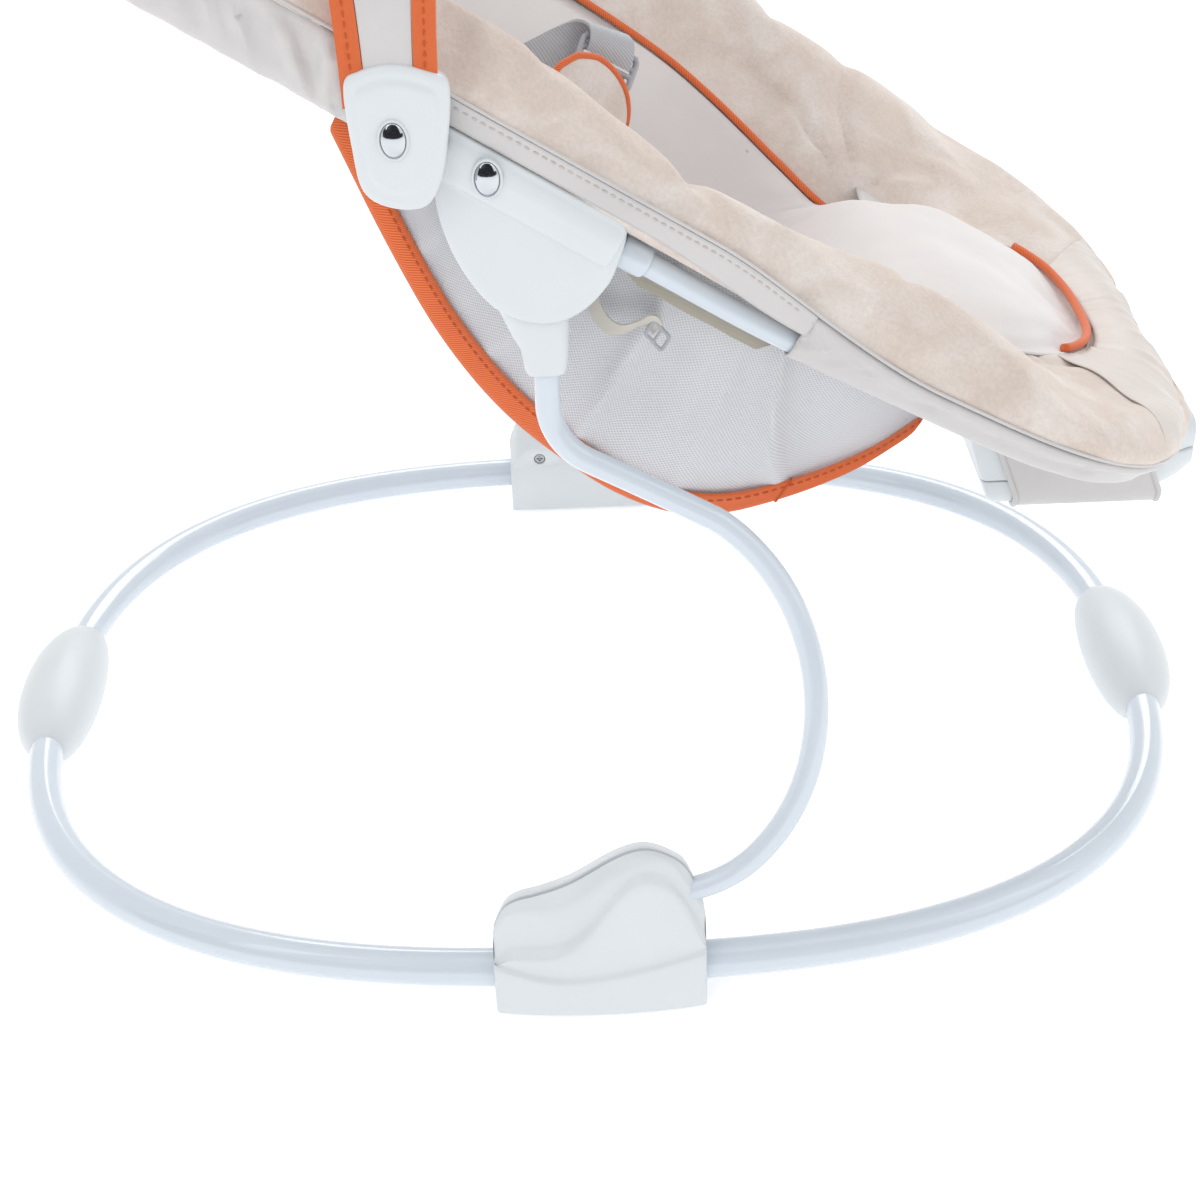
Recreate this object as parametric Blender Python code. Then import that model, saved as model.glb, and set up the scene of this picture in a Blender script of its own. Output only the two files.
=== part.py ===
# Baby bouncer: an oval tube base, two C-shaped spring rods, hubs, a padded sling seat,
# a fabric toy bar and a vibration unit under the foot end.
# Metres. +X is the foot end, +Y the far side, +Z up. The origin is on the floor at the middle of the base.
import math

import bmesh
import bpy
from mathutils import Vector

MM = 0.001
GAP = 0.3 * MM

# Base ring, an oval bent from tube
RING_HALF_LENGTH = 300 * MM
RING_HALF_WIDTH = 249 * MM
RING_POWER = 2.62
RING_TUBE_RADIUS = 9 * MM
RING_HEIGHT = 20 * MM

# Egg-shaped feet at the two ends of the ring
POD_HALF_LENGTH = 60 * MM
POD_HALF_WIDTH = 22 * MM
POD_HALF_HEIGHT = 21 * MM
FLOOR_PAD_THICKNESS = 2 * MM
FLOOR_PAD_SETBACK = 4 * MM
FLOOR_PAD_HALF_LENGTH = 38 * MM
FLOOR_PAD_HALF_WIDTH = 12 * MM

# Side housings, where the spring rods are held
HOUSING_LEFT = -50 * MM
HOUSING_RIGHT = 48 * MM
HOUSING_FRONT_DEPTH = 12.5 * MM
HOUSING_FRONT_BOW = 4 * MM
HOUSING_BACK_DEPTH = 23 * MM
HOUSING_BACK_DROP = 14 * MM
HOUSING_TOP = ((-50, 44), (-45, 56), (-39, 61), (-29, 64), (-14, 70), (9, 84), (22, 87), (35, 81), (41, 74),
               (48, 52))
HOUSING_RIDGE = ((-50, 42), (-43, 55), (-18, 60), (-7, 67), (5, 78), (21, 86), (34, 80), (48, 50))
HOUSING_WAVE = ((-50, 40), (-42, 47), (-18, 50), (-7, 57), (8, 77), (20, 83.5), (34, 76), (40, 64), (48, 44))
HOUSING_CREASE = ((-50, 30), (-24, 23), (-1, 24), (48, 34))
SCREW_HEAD_RADIUS = 3.2 * MM
SCREW_HEAD_HEIGHT = 1.8 * MM
SCREW_SINK = 3 * MM
HOUSING_SCREWS = (("head", (-30 * MM, 40 * MM)), ("foot", (27 * MM, 43 * MM)))

# Spring rods: each bend is straight length, turn in degrees, bend radius
ROD_RADIUS = 5.5 * MM
ROD_START = (6 * MM, 61 * MM)
ROD_BENDS = (
    (23 * MM, 45, 58 * MM),
    (0, 45, 99 * MM),
    (0, 52, 97 * MM),
    (0, 10.8, 40 * MM),
    (59 * MM, -62.8, 30 * MM),
    (26 * MM, 0, 0),
)
ROD_LEAN_TOP = 282 * MM
BOUNCE_AXIS = (97 * MM, 0, 148 * MM)

# Seat frame, measured along its centre line from the hub
FRAME_HUB_X = -14.8 * MM
FRAME_HUB_Z = 371.7 * MM
FRAME_SLOPE = 32.4
FOOT_SLOPE = 28.4
FOOT_BEND_START = 90 * MM
FOOT_BEND_LENGTH = 40 * MM
FRAME_HALF_WIDTH = 194 * MM
FRAME_FOOT = 338 * MM
FRAME_FOOT_CURVE = 207 * MM
FRAME_HEAD = -346 * MM
FRAME_HEAD_CURVE = -190 * MM
FRAME_POWER = 2.6
END_STEPS = 18
BACK_TUBE_RADIUS = 6.2 * MM
SEAT_TUBE_RADIUS = 5.2 * MM
TUBE_JOINT = 53 * MM
TUBE_PLUG = 14 * MM

# Hubs
HUB_TOP = 13.5 * MM
HUB_LEFT = -42 * MM
HUB_RIGHT = 42 * MM
HUB_BOTTOM = -45 * MM
HUB_ARC_S = 9 * MM
HUB_ARC_H = -9 * MM
HUB_OUTER = 10.5 * MM
HUB_INNER = 14 * MM
HUB_PLATE = 3 * MM
HUB_BAND = 13.4 * MM
PIVOT_S = 6 * MM
PIVOT_H = -23 * MM
PIVOT_RADIUS = 4 * MM
SOCKET_RADIUS = 15 * MM
SOCKET_HALF_WIDTH = 7 * MM
SOCKET_TIP = 52 * MM
SOCKET_TIP_WIDTH = 20 * MM
CAP_HALF_WIDTH = 5 * MM
CAP_HALF_HEIGHT = 7 * MM
CAP_RISE = 2.4 * MM
HUB_RIVET_S = -23 * MM
HUB_RIVET_H = 3.5 * MM

# Toy bar
BAR_S = -63 * MM
BAR_H = 2 * MM
BRACKET_BACK = 14 * MM
BRACKET_SPLIT = 18 * MM
BRACKET_FRONT = 23 * MM
BAR_HALF_SPAN = FRAME_HALF_WIDTH + BRACKET_SPLIT
BAR_RISE = 300 * MM
BAR_ROOT = 12 * MM
BAR_END_WIDTH = 37 * MM
BAR_TOP_WIDTH = 92 * MM
BAR_THICKNESS = 4.4 * MM
BINDING_WIDTH = 9 * MM
CORE_WIDTH = 9 * MM
CORE_THICKNESS = 1.2 * MM

# Soft goods. Heights are measured square to the frame, from its centre line.
CLOTH = 1.2 * MM
BOLSTER_TOP = 42 * MM
BOLSTER_TOP_FOOT = 20 * MM
BOLSTER_OVERHANG = 11 * MM
SEAM_HEIGHT = 25 * MM
SEAM_HEIGHT_FOOT = 10 * MM
UNDERSIDE = 13.6 * MM
UNDERSIDE_FOOT = 7.6 * MM
INNER_SEAM_WIDTH = 125 * MM
INNER_SEAM_WIDTH_FOOT = 92 * MM
INNER_SEAM_FOOT = 300 * MM
INNER_SEAM_HEAD = -290 * MM
PAD_THICKNESS = 9 * MM
SLING_START = -84 * MM
SLING_END = 198 * MM
INNER_FOOT_CURVE = 190 * MM
INNER_HEAD_CURVE = -170 * MM
PIPING_LINE = ((-290, 15), (-60, 9), (60, 3), (110, -6), (158, -14), (184, -7), (202, 4), (240, 7), (300, 12))
PAD_LINE = ((-290, 10), (-140, 5), (-84, 5), (-39, -30), (0, -58), (40, -79), (80, -91), (118, -95), (143, -82),
            (158, -58), (170, -28), (184, 4), (202, 8), (300, 8))
SLING_LINE = ((-84, -12), (-39, -46), (0, -74), (40, -95), (80, -107), (118, -112), (148, -104), (172, -80),
              (190, -46), (198, -14))
SLING_DRAW = ((-84, 16), (-39, 18), (-4, 26), (37, 36), (80, 45), (125, 52), (150, 54), (172, 49), (190, 35),
              (198, 20))

# Vibration unit
UNIT_BACK = 206 * MM
UNIT_FRONT = 310 * MM
UNIT_NOSE = 318 * MM
UNIT_HALF_WIDTH = 58 * MM
UNIT_NOSE_HALF_WIDTH = 34 * MM
UNIT_BOTTOM = 148 * MM
UNIT_SEAM = 163 * MM
UNIT_TOP_START = 224 * MM
UNIT_TOP_END = 369 * MM
UNIT_TOP_DEPTH = SEAT_TUBE_RADIUS + 3 * GAP + 2 * CLOTH
UNIT_WALL = 2.6 * MM
UNIT_FLOOR = 3.2 * MM
DOOR_X = 272 * MM
DOOR_LENGTH = 30 * MM
DOOR_HALF_WIDTH = 27 * MM
DOOR_THICKNESS = 2.4 * MM
DOOR_PIN_RADIUS = 0.8 * MM
DOOR_SCREW_RADIUS = 2.6 * MM
CELL_RADIUS = 7.2 * MM
CELL_HALF_LENGTH = 24.5 * MM
CELL_X = 283 * MM
MOTOR_X = 224 * MM
MOTOR_RADIUS = 9 * MM
MOTOR_START = -14 * MM
MOTOR_END = 8 * MM
SHAFT_RADIUS = 1.2 * MM
WEIGHT_RADIUS = 8.4 * MM
SWITCH_HALF_WIDTH = 5 * MM
SWITCH_HALF_HEIGHT = 2.6 * MM
SWITCH_TRAVEL = 4 * MM
SWITCH_Z = 167 * MM
POCKET_CLEARANCE = 2 * GAP
POCKET_BACK = 243 * MM
POCKET_FRONT = 322 * MM
POCKET_UNDER_BACK = 229 * MM
POCKET_UNDER_FRONT = 266 * MM

PLASTIC = ((0.86, 0.87, 0.86), 0.42, 0.0)
STEEL = ((0.69, 0.75, 0.82), 0.22, 0.0)
CHROME = ((0.75, 0.77, 0.80), 0.12, 1.0)
RUBBER = ((0.45, 0.46, 0.47), 0.8, 0.0)
SCREW = ((0.55, 0.56, 0.57), 0.35, 1.0)
PLUSH = ((0.72, 0.63, 0.54), 0.95, 0.0)
PALE = ((0.74, 0.72, 0.71), 0.85, 0.0)
SATIN = ((0.68, 0.65, 0.63), 0.55, 0.0)
MESH = ((0.78, 0.78, 0.79), 0.8, 0.0)
ORANGE = ((0.80, 0.18, 0.05), 0.75, 0.0)
GREY = ((0.42, 0.43, 0.46), 0.6, 0.0)

SIDES = (("near", -1), ("far", 1))


# The frame's centre line and its plan

def slope_at(s):
    """Slope of the seat frame, in radians below the horizontal."""
    share = min(max((s - FOOT_BEND_START) / FOOT_BEND_LENGTH, 0), 1)
    return math.radians(FRAME_SLOPE + (FOOT_SLOPE - FRAME_SLOPE) * share)


def centre_line(s):
    """World X and Z at s along the frame: a straight, a gentle bend and a straight."""
    first = math.radians(FRAME_SLOPE)
    straight = min(s, FOOT_BEND_START)
    x = FRAME_HUB_X + straight * math.cos(first)
    z = FRAME_HUB_Z - straight * math.sin(first)
    if s > FOOT_BEND_START:
        curve = math.radians(FRAME_SLOPE - FOOT_SLOPE) / FOOT_BEND_LENGTH
        angle = slope_at(s)
        x += (math.sin(first) - math.sin(angle)) / curve
        z += (math.cos(first) - math.cos(angle)) / curve
    rest = s - FOOT_BEND_START - FOOT_BEND_LENGTH
    if rest > 0:
        x += rest * math.cos(slope_at(s))
        z -= rest * math.sin(slope_at(s))
    return x, z


def seat_point(s, y, h):
    """World point at s along the frame, y across and h square above the frame's plane."""
    x, z = centre_line(s)
    angle = slope_at(s)
    return Vector((x + h * math.sin(angle), y, z + h * math.cos(angle)))


def ease(value, low, high):
    """Smooth step from 0 at low to 1 at high."""
    share = min(max((value - low) / (high - low), 0), 1)
    return share * share * (3 - 2 * share)


def between(points, value):
    """Height read from a smooth curve through a few (place, height) points."""
    last = len(points) - 1
    value = min(max(value, points[0][0]), points[last][0])
    index = next(number for number in range(last) if value <= points[number + 1][0])
    slopes = []
    for here in (index, index + 1):
        (a, low), (b, high) = points[max(here - 1, 0)], points[min(here + 1, last)]
        slopes.append((high - low) / (b - a))
    (start, low), (end, high) = points[index], points[index + 1]
    span = end - start
    share = (value - start) / span
    rest = 1 - share
    return (low * (1 + 2 * share) * rest ** 2 + slopes[0] * span * share * rest ** 2
            + high * share ** 2 * (3 - 2 * share) - slopes[1] * span * share ** 2 * rest)


def follow(points, value):
    """The same for points given in millimetres."""
    return between(points, value / MM) * MM


def read_off(points, value):
    """Height read from straight lines through a few (place, height) points, given in millimetres."""
    for (a, low), (b, high) in zip(points, points[1:]):
        if value <= b * MM:
            share = max(value / MM - a, 0) / (b - a)
            return (low + (high - low) * share) * MM
    return points[-1][1] * MM


def end_curve(centre, tip, half_width, steps, power=FRAME_POWER):
    """Rounded end of the frame in plan, from the near side to the far side."""
    curve = []
    for index in range(steps + 1):
        angle = math.pi * (index / steps - 0.5)
        across = math.copysign(abs(math.sin(angle)) ** (2 / power), angle)
        along = max(math.cos(angle), 0) ** (2 / power)
        curve.append((centre + (tip - centre) * along, half_width * across))
    return curve


def rim(half_width, foot, head, side_steps, end_steps, foot_curve=FRAME_FOOT_CURVE,
        head_curve=FRAME_HEAD_CURVE):
    """Closed outline of the seat in plan, as (s, y) pairs, starting at the near side's head end."""
    sides = [head_curve + (foot_curve - head_curve) * index / side_steps for index in range(side_steps)]
    near = [(s, -half_width) for s in sides]
    foot_end = end_curve(foot_curve, foot, half_width, end_steps)
    far = [(s, half_width) for s in reversed(sides[1:])]
    head_end = list(reversed(end_curve(head_curve, head, half_width, end_steps)))
    return near + foot_end[:-1] + [foot_end[-1]] + far + head_end[:-1]


# Mesh helpers

def finish(obj, look, parent=None):
    """Give a piece its own material and hang it on the empty of its joint, where it is."""
    colour, roughness, metallic = look
    material = bpy.data.materials.new(obj.name)
    material.use_nodes = True
    shader = material.node_tree.nodes["Principled BSDF"]
    shader.inputs["Base Color"].default_value = (*colour, 1)
    shader.inputs["Roughness"].default_value = roughness
    shader.inputs["Metallic"].default_value = metallic
    obj.data.materials.clear()
    obj.data.materials.append(material)
    if parent:
        obj.parent = parent
        obj.matrix_parent_inverse = parent.matrix_world.inverted()
    return obj


def from_bmesh(name, shape):
    """Object from a bmesh, faces out and round parts shaded smooth."""
    bmesh.ops.recalc_face_normals(shape, faces=shape.faces)
    mesh = bpy.data.meshes.new(name)
    shape.to_mesh(mesh)
    shape.free()
    mesh.shade_smooth()
    mesh.set_sharp_from_angle(angle=math.radians(35))
    obj = bpy.data.objects.new(name, mesh)
    bpy.context.collection.objects.link(obj)
    return obj


def skin(shape, rings, closed=False):
    """Join rings of points, each of the same number, into a wall, with flat ends unless it is closed."""
    rows = [[shape.verts.new(point) for point in ring] for ring in rings]
    pairs = list(zip(rows, rows[1:]))
    if closed:
        pairs.append((rows[-1], rows[0]))
    for first, second in pairs:
        count = len(first)
        for index in range(count):
            following = (index + 1) % count
            shape.faces.new((first[index], first[following], second[following], second[index]))
    if not closed:
        shape.faces.new(rows[0])
        shape.faces.new(list(reversed(rows[-1])))
    return rows


def loft(name, rings, closed=False):
    shape = bmesh.new()
    skin(shape, rings, closed)
    bmesh.ops.triangulate(shape, faces=[face for face in shape.faces if len(face.verts) == 4])
    return from_bmesh(name, shape)


def prism(name, outline, start, end, bevel=0.0):
    """Outline of (x, z) pairs drawn out along Y, with its long edges rounded."""
    shape = bmesh.new()
    face = shape.faces.new([shape.verts.new((x, start, z)) for x, z in outline])
    drawn = bmesh.ops.extrude_face_region(shape, geom=[face])
    moved = [item for item in drawn["geom"] if isinstance(item, bmesh.types.BMVert)]
    bmesh.ops.translate(shape, verts=moved, vec=(0, end - start, 0))
    obj = from_bmesh(name, shape)
    if bevel:
        rounding = obj.modifiers.new("rounding", "BEVEL")
        rounding.width = bevel
        rounding.segments = 2
        rounding.limit_method = "ANGLE"
        rounding.angle_limit = math.radians(50)
    return obj


def drum(name, centre, radius, start, end, steps=16, squash=1.0):
    """Cylinder along Y from start to end. Squash is its width as a share of its height."""
    outline = []
    for index in range(steps):
        angle = 2 * math.pi * index / steps
        outline.append((centre[0] + radius * squash * math.cos(angle), centre[1] + radius * math.sin(angle)))
    return prism(name, outline, start, end)


def tube(name, points, radius, resolution=3):
    """Round bar along a route, from a curve with a bevel and filled ends."""
    curve = bpy.data.curves.new(name, "CURVE")
    curve.dimensions = "3D"
    spline = curve.splines.new("POLY")
    spline.points.add(len(points) - 1)
    for target, point in zip(spline.points, points):
        target.co = (*point, 1)
    curve.bevel_depth = radius
    curve.bevel_resolution = resolution
    curve.use_fill_caps = True
    obj = bpy.data.objects.new(name, curve)
    bpy.context.collection.objects.link(obj)
    bpy.context.view_layer.update()
    mesh = bpy.data.meshes.new_from_object(obj.evaluated_get(bpy.context.evaluated_depsgraph_get()))
    bpy.data.objects.remove(obj)
    shape = bmesh.new()
    shape.from_mesh(mesh)
    bpy.data.meshes.remove(mesh)
    bmesh.ops.remove_doubles(shape, verts=shape.verts, dist=0.01 * MM)
    return from_bmesh(name, shape)


def combine(obj, other, operation="DIFFERENCE"):
    """Cut a piece with another, or join the other to it."""
    step = obj.modifiers.new(operation.lower(), "BOOLEAN")
    step.operation = operation
    step.object = other
    other.hide_render = True
    other.display_type = "WIRE"
    return obj


def rounded(corners, radius, steps=3):
    """Outline through the corners, each rounded by an arc of the same radius."""
    outline = []
    count = len(corners)
    for index, corner in enumerate(corners):
        here = Vector(corner)
        before = (Vector(corners[index - 1]) - here).normalized()
        after = (Vector(corners[(index + 1) % count]) - here).normalized()
        half = before.angle(after) / 2
        reach = radius / math.tan(half)
        middle = here + (before + after).normalized() * radius / math.sin(half)
        first = (here + before * reach - middle).normalized()
        last = (here + after * reach - middle).normalized()
        for step in range(steps + 1):
            outline.append(tuple(middle + first.slerp(last, step / steps) * radius))
    return outline


def axis_empty(name, place, parent=None):
    """Empty on a joint's axis, which carries what turns or slides there."""
    empty = bpy.data.objects.new(name, None)
    empty.location = place
    bpy.context.collection.objects.link(empty)
    if parent:
        empty.parent = parent
        empty.matrix_parent_inverse = parent.matrix_world.inverted()
    bpy.context.view_layer.update()
    return empty


# Base

def ring_route(start, end, steps):
    """Centre line of the base ring between two angles in degrees, measured from the foot end."""
    route = []
    for index in range(steps + 1):
        angle = math.radians(start + (end - start) * index / steps)
        cosine, sine = math.cos(angle), math.sin(angle)
        x = RING_HALF_LENGTH * math.copysign(abs(cosine) ** (2 / RING_POWER), cosine)
        y = RING_HALF_WIDTH * math.copysign(abs(sine) ** (2 / RING_POWER), sine)
        route.append(Vector((x, y, RING_HEIGHT)))
    return route


def base_ring():
    """Two bent tubes that meet end to end inside the side housings."""
    open_angle = 0.012
    for name, start, end in (("base_tube_foot", -90, 90), ("base_tube_head", 90, 270)):
        route = ring_route(start + open_angle, end - open_angle, 30)
        finish(tube(name, route, RING_TUBE_RADIUS, 3), STEEL)


def ring_cutter(name, start, end):
    """Bore for the ring's tube with its clearance."""
    return tube(name, ring_route(start, end, 12), RING_TUBE_RADIUS + GAP, 3)


def egg(name, centre_x, side):
    """Egg-shaped foot, a turned form with a flat underside, on the end of the ring."""
    rings = []
    steps = 12
    for index in range(1, steps):
        angle = math.pi * index / steps
        y = -POD_HALF_LENGTH * math.cos(angle)
        swell = math.sin(angle) ** 0.75
        bend = RING_HALF_LENGTH * (1 - (1 - abs(y / RING_HALF_WIDTH) ** RING_POWER) ** (1 / RING_POWER))
        ring = []
        for turn in range(18):
            around = 2 * math.pi * turn / 18
            x = centre_x - side * bend + POD_HALF_WIDTH * swell * math.cos(around)
            z = RING_HEIGHT + POD_HALF_HEIGHT * swell * math.sin(around)
            ring.append(Vector((x, y, max(z, 0))))
        rings.append(ring)
    return loft(name, rings)


def pods():
    for name, side, start in (("foot_pod", 1, -40), ("head_pod", -1, 140)):
        pod = egg(name, side * RING_HALF_LENGTH, side)
        combine(pod, ring_cutter(name + "_bore", start, start + 80))
        finish(pod, PLASTIC)


def housing_section(x, side, shrink):
    """Section of the outer shell at x. Side is -1 for the near housing and 1 for the far one."""
    middle = (HOUSING_LEFT + HOUSING_RIGHT) / 2
    half = (HOUSING_RIGHT - HOUSING_LEFT) / 2
    front = HOUSING_FRONT_DEPTH + HOUSING_FRONT_BOW * (1 - ((x - middle) / half) ** 2) - shrink
    top = read_off(HOUSING_TOP, x) - shrink
    ridge = min(read_off(HOUSING_RIDGE, x), top - 0.5 * MM)
    wave = min(read_off(HOUSING_WAVE, x), ridge - 2 * MM)
    crease = read_off(HOUSING_CREASE, x)
    bottom = FLOOR_PAD_THICKNESS + GAP
    profile = (
        (GAP / 2, bottom), (front - 0.8 * MM, bottom), (front, bottom + 0.8 * MM), (front, crease - 1 * MM),
        (front - 1.6 * MM, crease + 1.4 * MM), (front - 1.2 * MM, (crease + wave) / 2),
        (front - 2.6 * MM, wave - 4 * MM), (front - 5 * MM, wave), (front * 0.45, ridge - 1 * MM),
        (front * 0.34, ridge), (GAP / 2, top),
    )
    return [Vector((x, side * (RING_HALF_WIDTH + out), z)) for out, z in profile]


def cover_outline(y, drop, inset):
    """Outline of the inner cover at y, lower than the seam by drop."""
    left, right = HOUSING_LEFT + inset, HOUSING_RIGHT - inset
    bottom = FLOOR_PAD_THICKNESS + GAP
    ring = [Vector((right, y, bottom)), Vector((left, y, bottom))]
    steps = 12
    for index in range(steps + 1):
        x = left + (right - left) * index / steps
        ring.append(Vector((x, y, read_off(HOUSING_TOP, x) - drop)))
    return ring


def housing(label, side):
    """Side housing: a sculpted outer shell and a plain inner cover, both bored for tube and rod."""
    count = 14
    rings = [housing_section(HOUSING_LEFT, side, 2.5 * MM)]
    for index in range(count + 1):
        x = HOUSING_LEFT + 1.5 * MM + (HOUSING_RIGHT - HOUSING_LEFT - 3 * MM) * index / count
        rings.append(housing_section(x, side, 0))
    rings.append(housing_section(HOUSING_RIGHT, side, 2.5 * MM))
    shell = loft(label + "_housing_shell", rings)

    inner = side * (RING_HALF_WIDTH - GAP / 2)
    back = side * (RING_HALF_WIDTH - HOUSING_BACK_DEPTH)
    rings = [cover_outline(inner, 0.4 * MM, 0.6 * MM),
             cover_outline(back + side * 1.4 * MM, HOUSING_BACK_DROP, 0.6 * MM),
             cover_outline(back, HOUSING_BACK_DROP + 1.4 * MM, 2 * MM)]
    cover = loft(label + "_housing_cover", rings)

    angle = 90 * side
    bore = ring_cutter(label + "_housing_bore", angle - 40, angle + 40)
    rod_bore = tube(label + "_rod_bore", rod_route(side, ROD_START[0] - GAP)[:14], ROD_RADIUS + GAP, 3)
    for piece in (shell, cover):
        combine(piece, bore)
        combine(piece, rod_bore)
    for place, (x, z) in HOUSING_SCREWS:
        hole = drum(f"{label}_{place}_screw_hole", (x, z), SCREW_HEAD_RADIUS + GAP, back - side * 2 * MM,
                    back + side * SCREW_SINK, 12)
        combine(cover, hole)
        head = drum(f"{label}_{place}_screw", (x, z), SCREW_HEAD_RADIUS, back + side * (SCREW_SINK - GAP),
                    back + side * (SCREW_SINK - GAP - SCREW_HEAD_HEIGHT), 12)
        finish(head, SCREW)
    finish(shell, PLASTIC)
    finish(cover, PLASTIC)


def floor_pads():
    """Thin rubber pads under the housings."""
    for label, side in SIDES:
        y = side * (RING_HALF_WIDTH - FLOOR_PAD_SETBACK)
        outline = rounded(((-FLOOR_PAD_HALF_LENGTH, y - FLOOR_PAD_HALF_WIDTH),
                           (FLOOR_PAD_HALF_LENGTH, y - FLOOR_PAD_HALF_WIDTH),
                           (FLOOR_PAD_HALF_LENGTH, y + FLOOR_PAD_HALF_WIDTH),
                           (-FLOOR_PAD_HALF_LENGTH, y + FLOOR_PAD_HALF_WIDTH)), 5 * MM)
        finish(plate(label + "_floor_pad", outline, 0, FLOOR_PAD_THICKNESS), RUBBER)


def plate(name, outline, bottom, top, bevel=0.0):
    """Outline of (x, y) pairs drawn up along Z."""
    shape = bmesh.new()
    face = shape.faces.new([shape.verts.new((x, y, bottom)) for x, y in outline])
    drawn = bmesh.ops.extrude_face_region(shape, geom=[face])
    moved = [item for item in drawn["geom"] if isinstance(item, bmesh.types.BMVert)]
    bmesh.ops.translate(shape, verts=moved, vec=(0, 0, top - bottom))
    obj = from_bmesh(name, shape)
    if bevel:
        rounding = obj.modifiers.new("rounding", "BEVEL")
        rounding.width = bevel
        rounding.segments = 2
        rounding.limit_method = "ANGLE"
        rounding.angle_limit = math.radians(50)
    return obj


# Spring rods

def rod_profile():
    """Bent rod seen from the side, as (x, z) points from the housing to the socket."""
    x, z = ROD_START
    heading = 0.0
    points = [(x, z)]
    for straight, turn, radius in ROD_BENDS:
        if straight:
            x += straight * math.cos(heading)
            z += straight * math.sin(heading)
            points.append((x, z))
        steps = math.ceil(abs(turn) / 11)
        for _ in range(steps):
            bend = math.radians(turn) / steps
            chord = 2 * radius * math.sin(abs(bend) / 2)
            x += chord * math.cos(heading + bend / 2)
            z += chord * math.sin(heading + bend / 2)
            heading += bend
            points.append((x, z))
    return points


def rod_route(side, start_x=None):
    """Route of a rod, which leans in from the housing to the frame tube."""
    points = rod_profile()
    if start_x is not None:
        points[0] = (start_x, points[0][1])
    bottom = points[0][1]
    route = []
    for x, z in points:
        inward = (RING_HALF_WIDTH - FRAME_HALF_WIDTH) * ease(z, bottom, ROD_LEAN_TOP)
        route.append(Vector((x, side * (RING_HALF_WIDTH - inward), z)))
    return route


def spring_legs():
    for label, side in SIDES:
        finish(tube(label + "_spring_leg", rod_route(side), ROD_RADIUS, 3), STEEL)


def pivot_point():
    """World X and Z of the axis that the seat turns on."""
    point = seat_point(PIVOT_S, 0, PIVOT_H)
    return point.x, point.z


def leg_sockets(parent):
    """Plastic ends of the rods: a round head inside the hub and a neck round the rod."""
    x, z = pivot_point()
    rod_x, rod_end = rod_profile()[-1]
    tip = z - SOCKET_TIP
    outline = []
    for index in range(11):
        angle = math.radians(180 - 180 * index / 10)
        outline.append((x + SOCKET_RADIUS * math.cos(angle), z + SOCKET_RADIUS * math.sin(angle)))
    outline += [(x + SOCKET_RADIUS, z - 14 * MM), (rod_x + SOCKET_TIP_WIDTH / 2 - 1 * MM, z - 26 * MM)]
    outline += [(rod_x + SOCKET_TIP_WIDTH / 2, tip + 9 * MM)]
    outline += [(rod_x + SOCKET_TIP_WIDTH / 2 - 4 * MM, tip + 1 * MM)]
    outline += [(rod_x - SOCKET_TIP_WIDTH / 2 + 4 * MM, tip), (rod_x - SOCKET_TIP_WIDTH / 2, tip + 4 * MM)]
    outline += [(x - SOCKET_RADIUS, z - 20 * MM)]
    for label, side in SIDES:
        middle = side * FRAME_HALF_WIDTH
        socket = prism(label + "_leg_socket", outline, middle - SOCKET_HALF_WIDTH, middle + SOCKET_HALF_WIDTH,
                       1.4 * MM)
        bore_route = [Vector((rod_x, middle, tip - 4 * MM)), Vector((rod_x, middle, rod_end + GAP))]
        combine(socket, tube(label + "_socket_bore", bore_route, ROD_RADIUS + GAP, 3))
        bore = drum(label + "_pivot_bore", (x, z), PIVOT_RADIUS + GAP, middle - 20 * MM, middle + 20 * MM, 20)
        combine(socket, bore)
        finish(socket, PLASTIC, parent)


# Seat frame and hubs

def frame_tubes(parent):
    """Backrest tube, which runs on through the hubs, and the seat tube that plugs into its ends."""
    head = end_curve(FRAME_HEAD_CURVE, FRAME_HEAD, FRAME_HALF_WIDTH, END_STEPS)
    plan = [(TUBE_JOINT, -FRAME_HALF_WIDTH)] + head + [(TUBE_JOINT, FRAME_HALF_WIDTH)]
    back = tube("backrest_tube", [seat_point(s, y, 0) for s, y in plan], BACK_TUBE_RADIUS, 3)
    for label, side in SIDES:
        y = side * FRAME_HALF_WIDTH
        mouth = [seat_point(TUBE_JOINT + 5 * MM, y, 0), seat_point(TUBE_JOINT - TUBE_PLUG - GAP, y, 0)]
        combine(back, tube(label + "_tube_mouth", mouth, SEAT_TUBE_RADIUS + GAP, 3))
    finish(back, STEEL, parent)

    foot = end_curve(FRAME_FOOT_CURVE, FRAME_FOOT, FRAME_HALF_WIDTH, END_STEPS)
    bend = [FOOT_BEND_START + FOOT_BEND_LENGTH * index / 3 for index in range(4)]
    near = [(s, -FRAME_HALF_WIDTH) for s in [TUBE_JOINT - TUBE_PLUG] + bend]
    far = [(s, FRAME_HALF_WIDTH) for s in reversed([TUBE_JOINT - TUBE_PLUG] + bend)]
    route = [seat_point(s, y, 0) for s, y in near + foot + far]
    finish(tube("seat_tube", route, SEAT_TUBE_RADIUS, 3), STEEL, parent)


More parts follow.
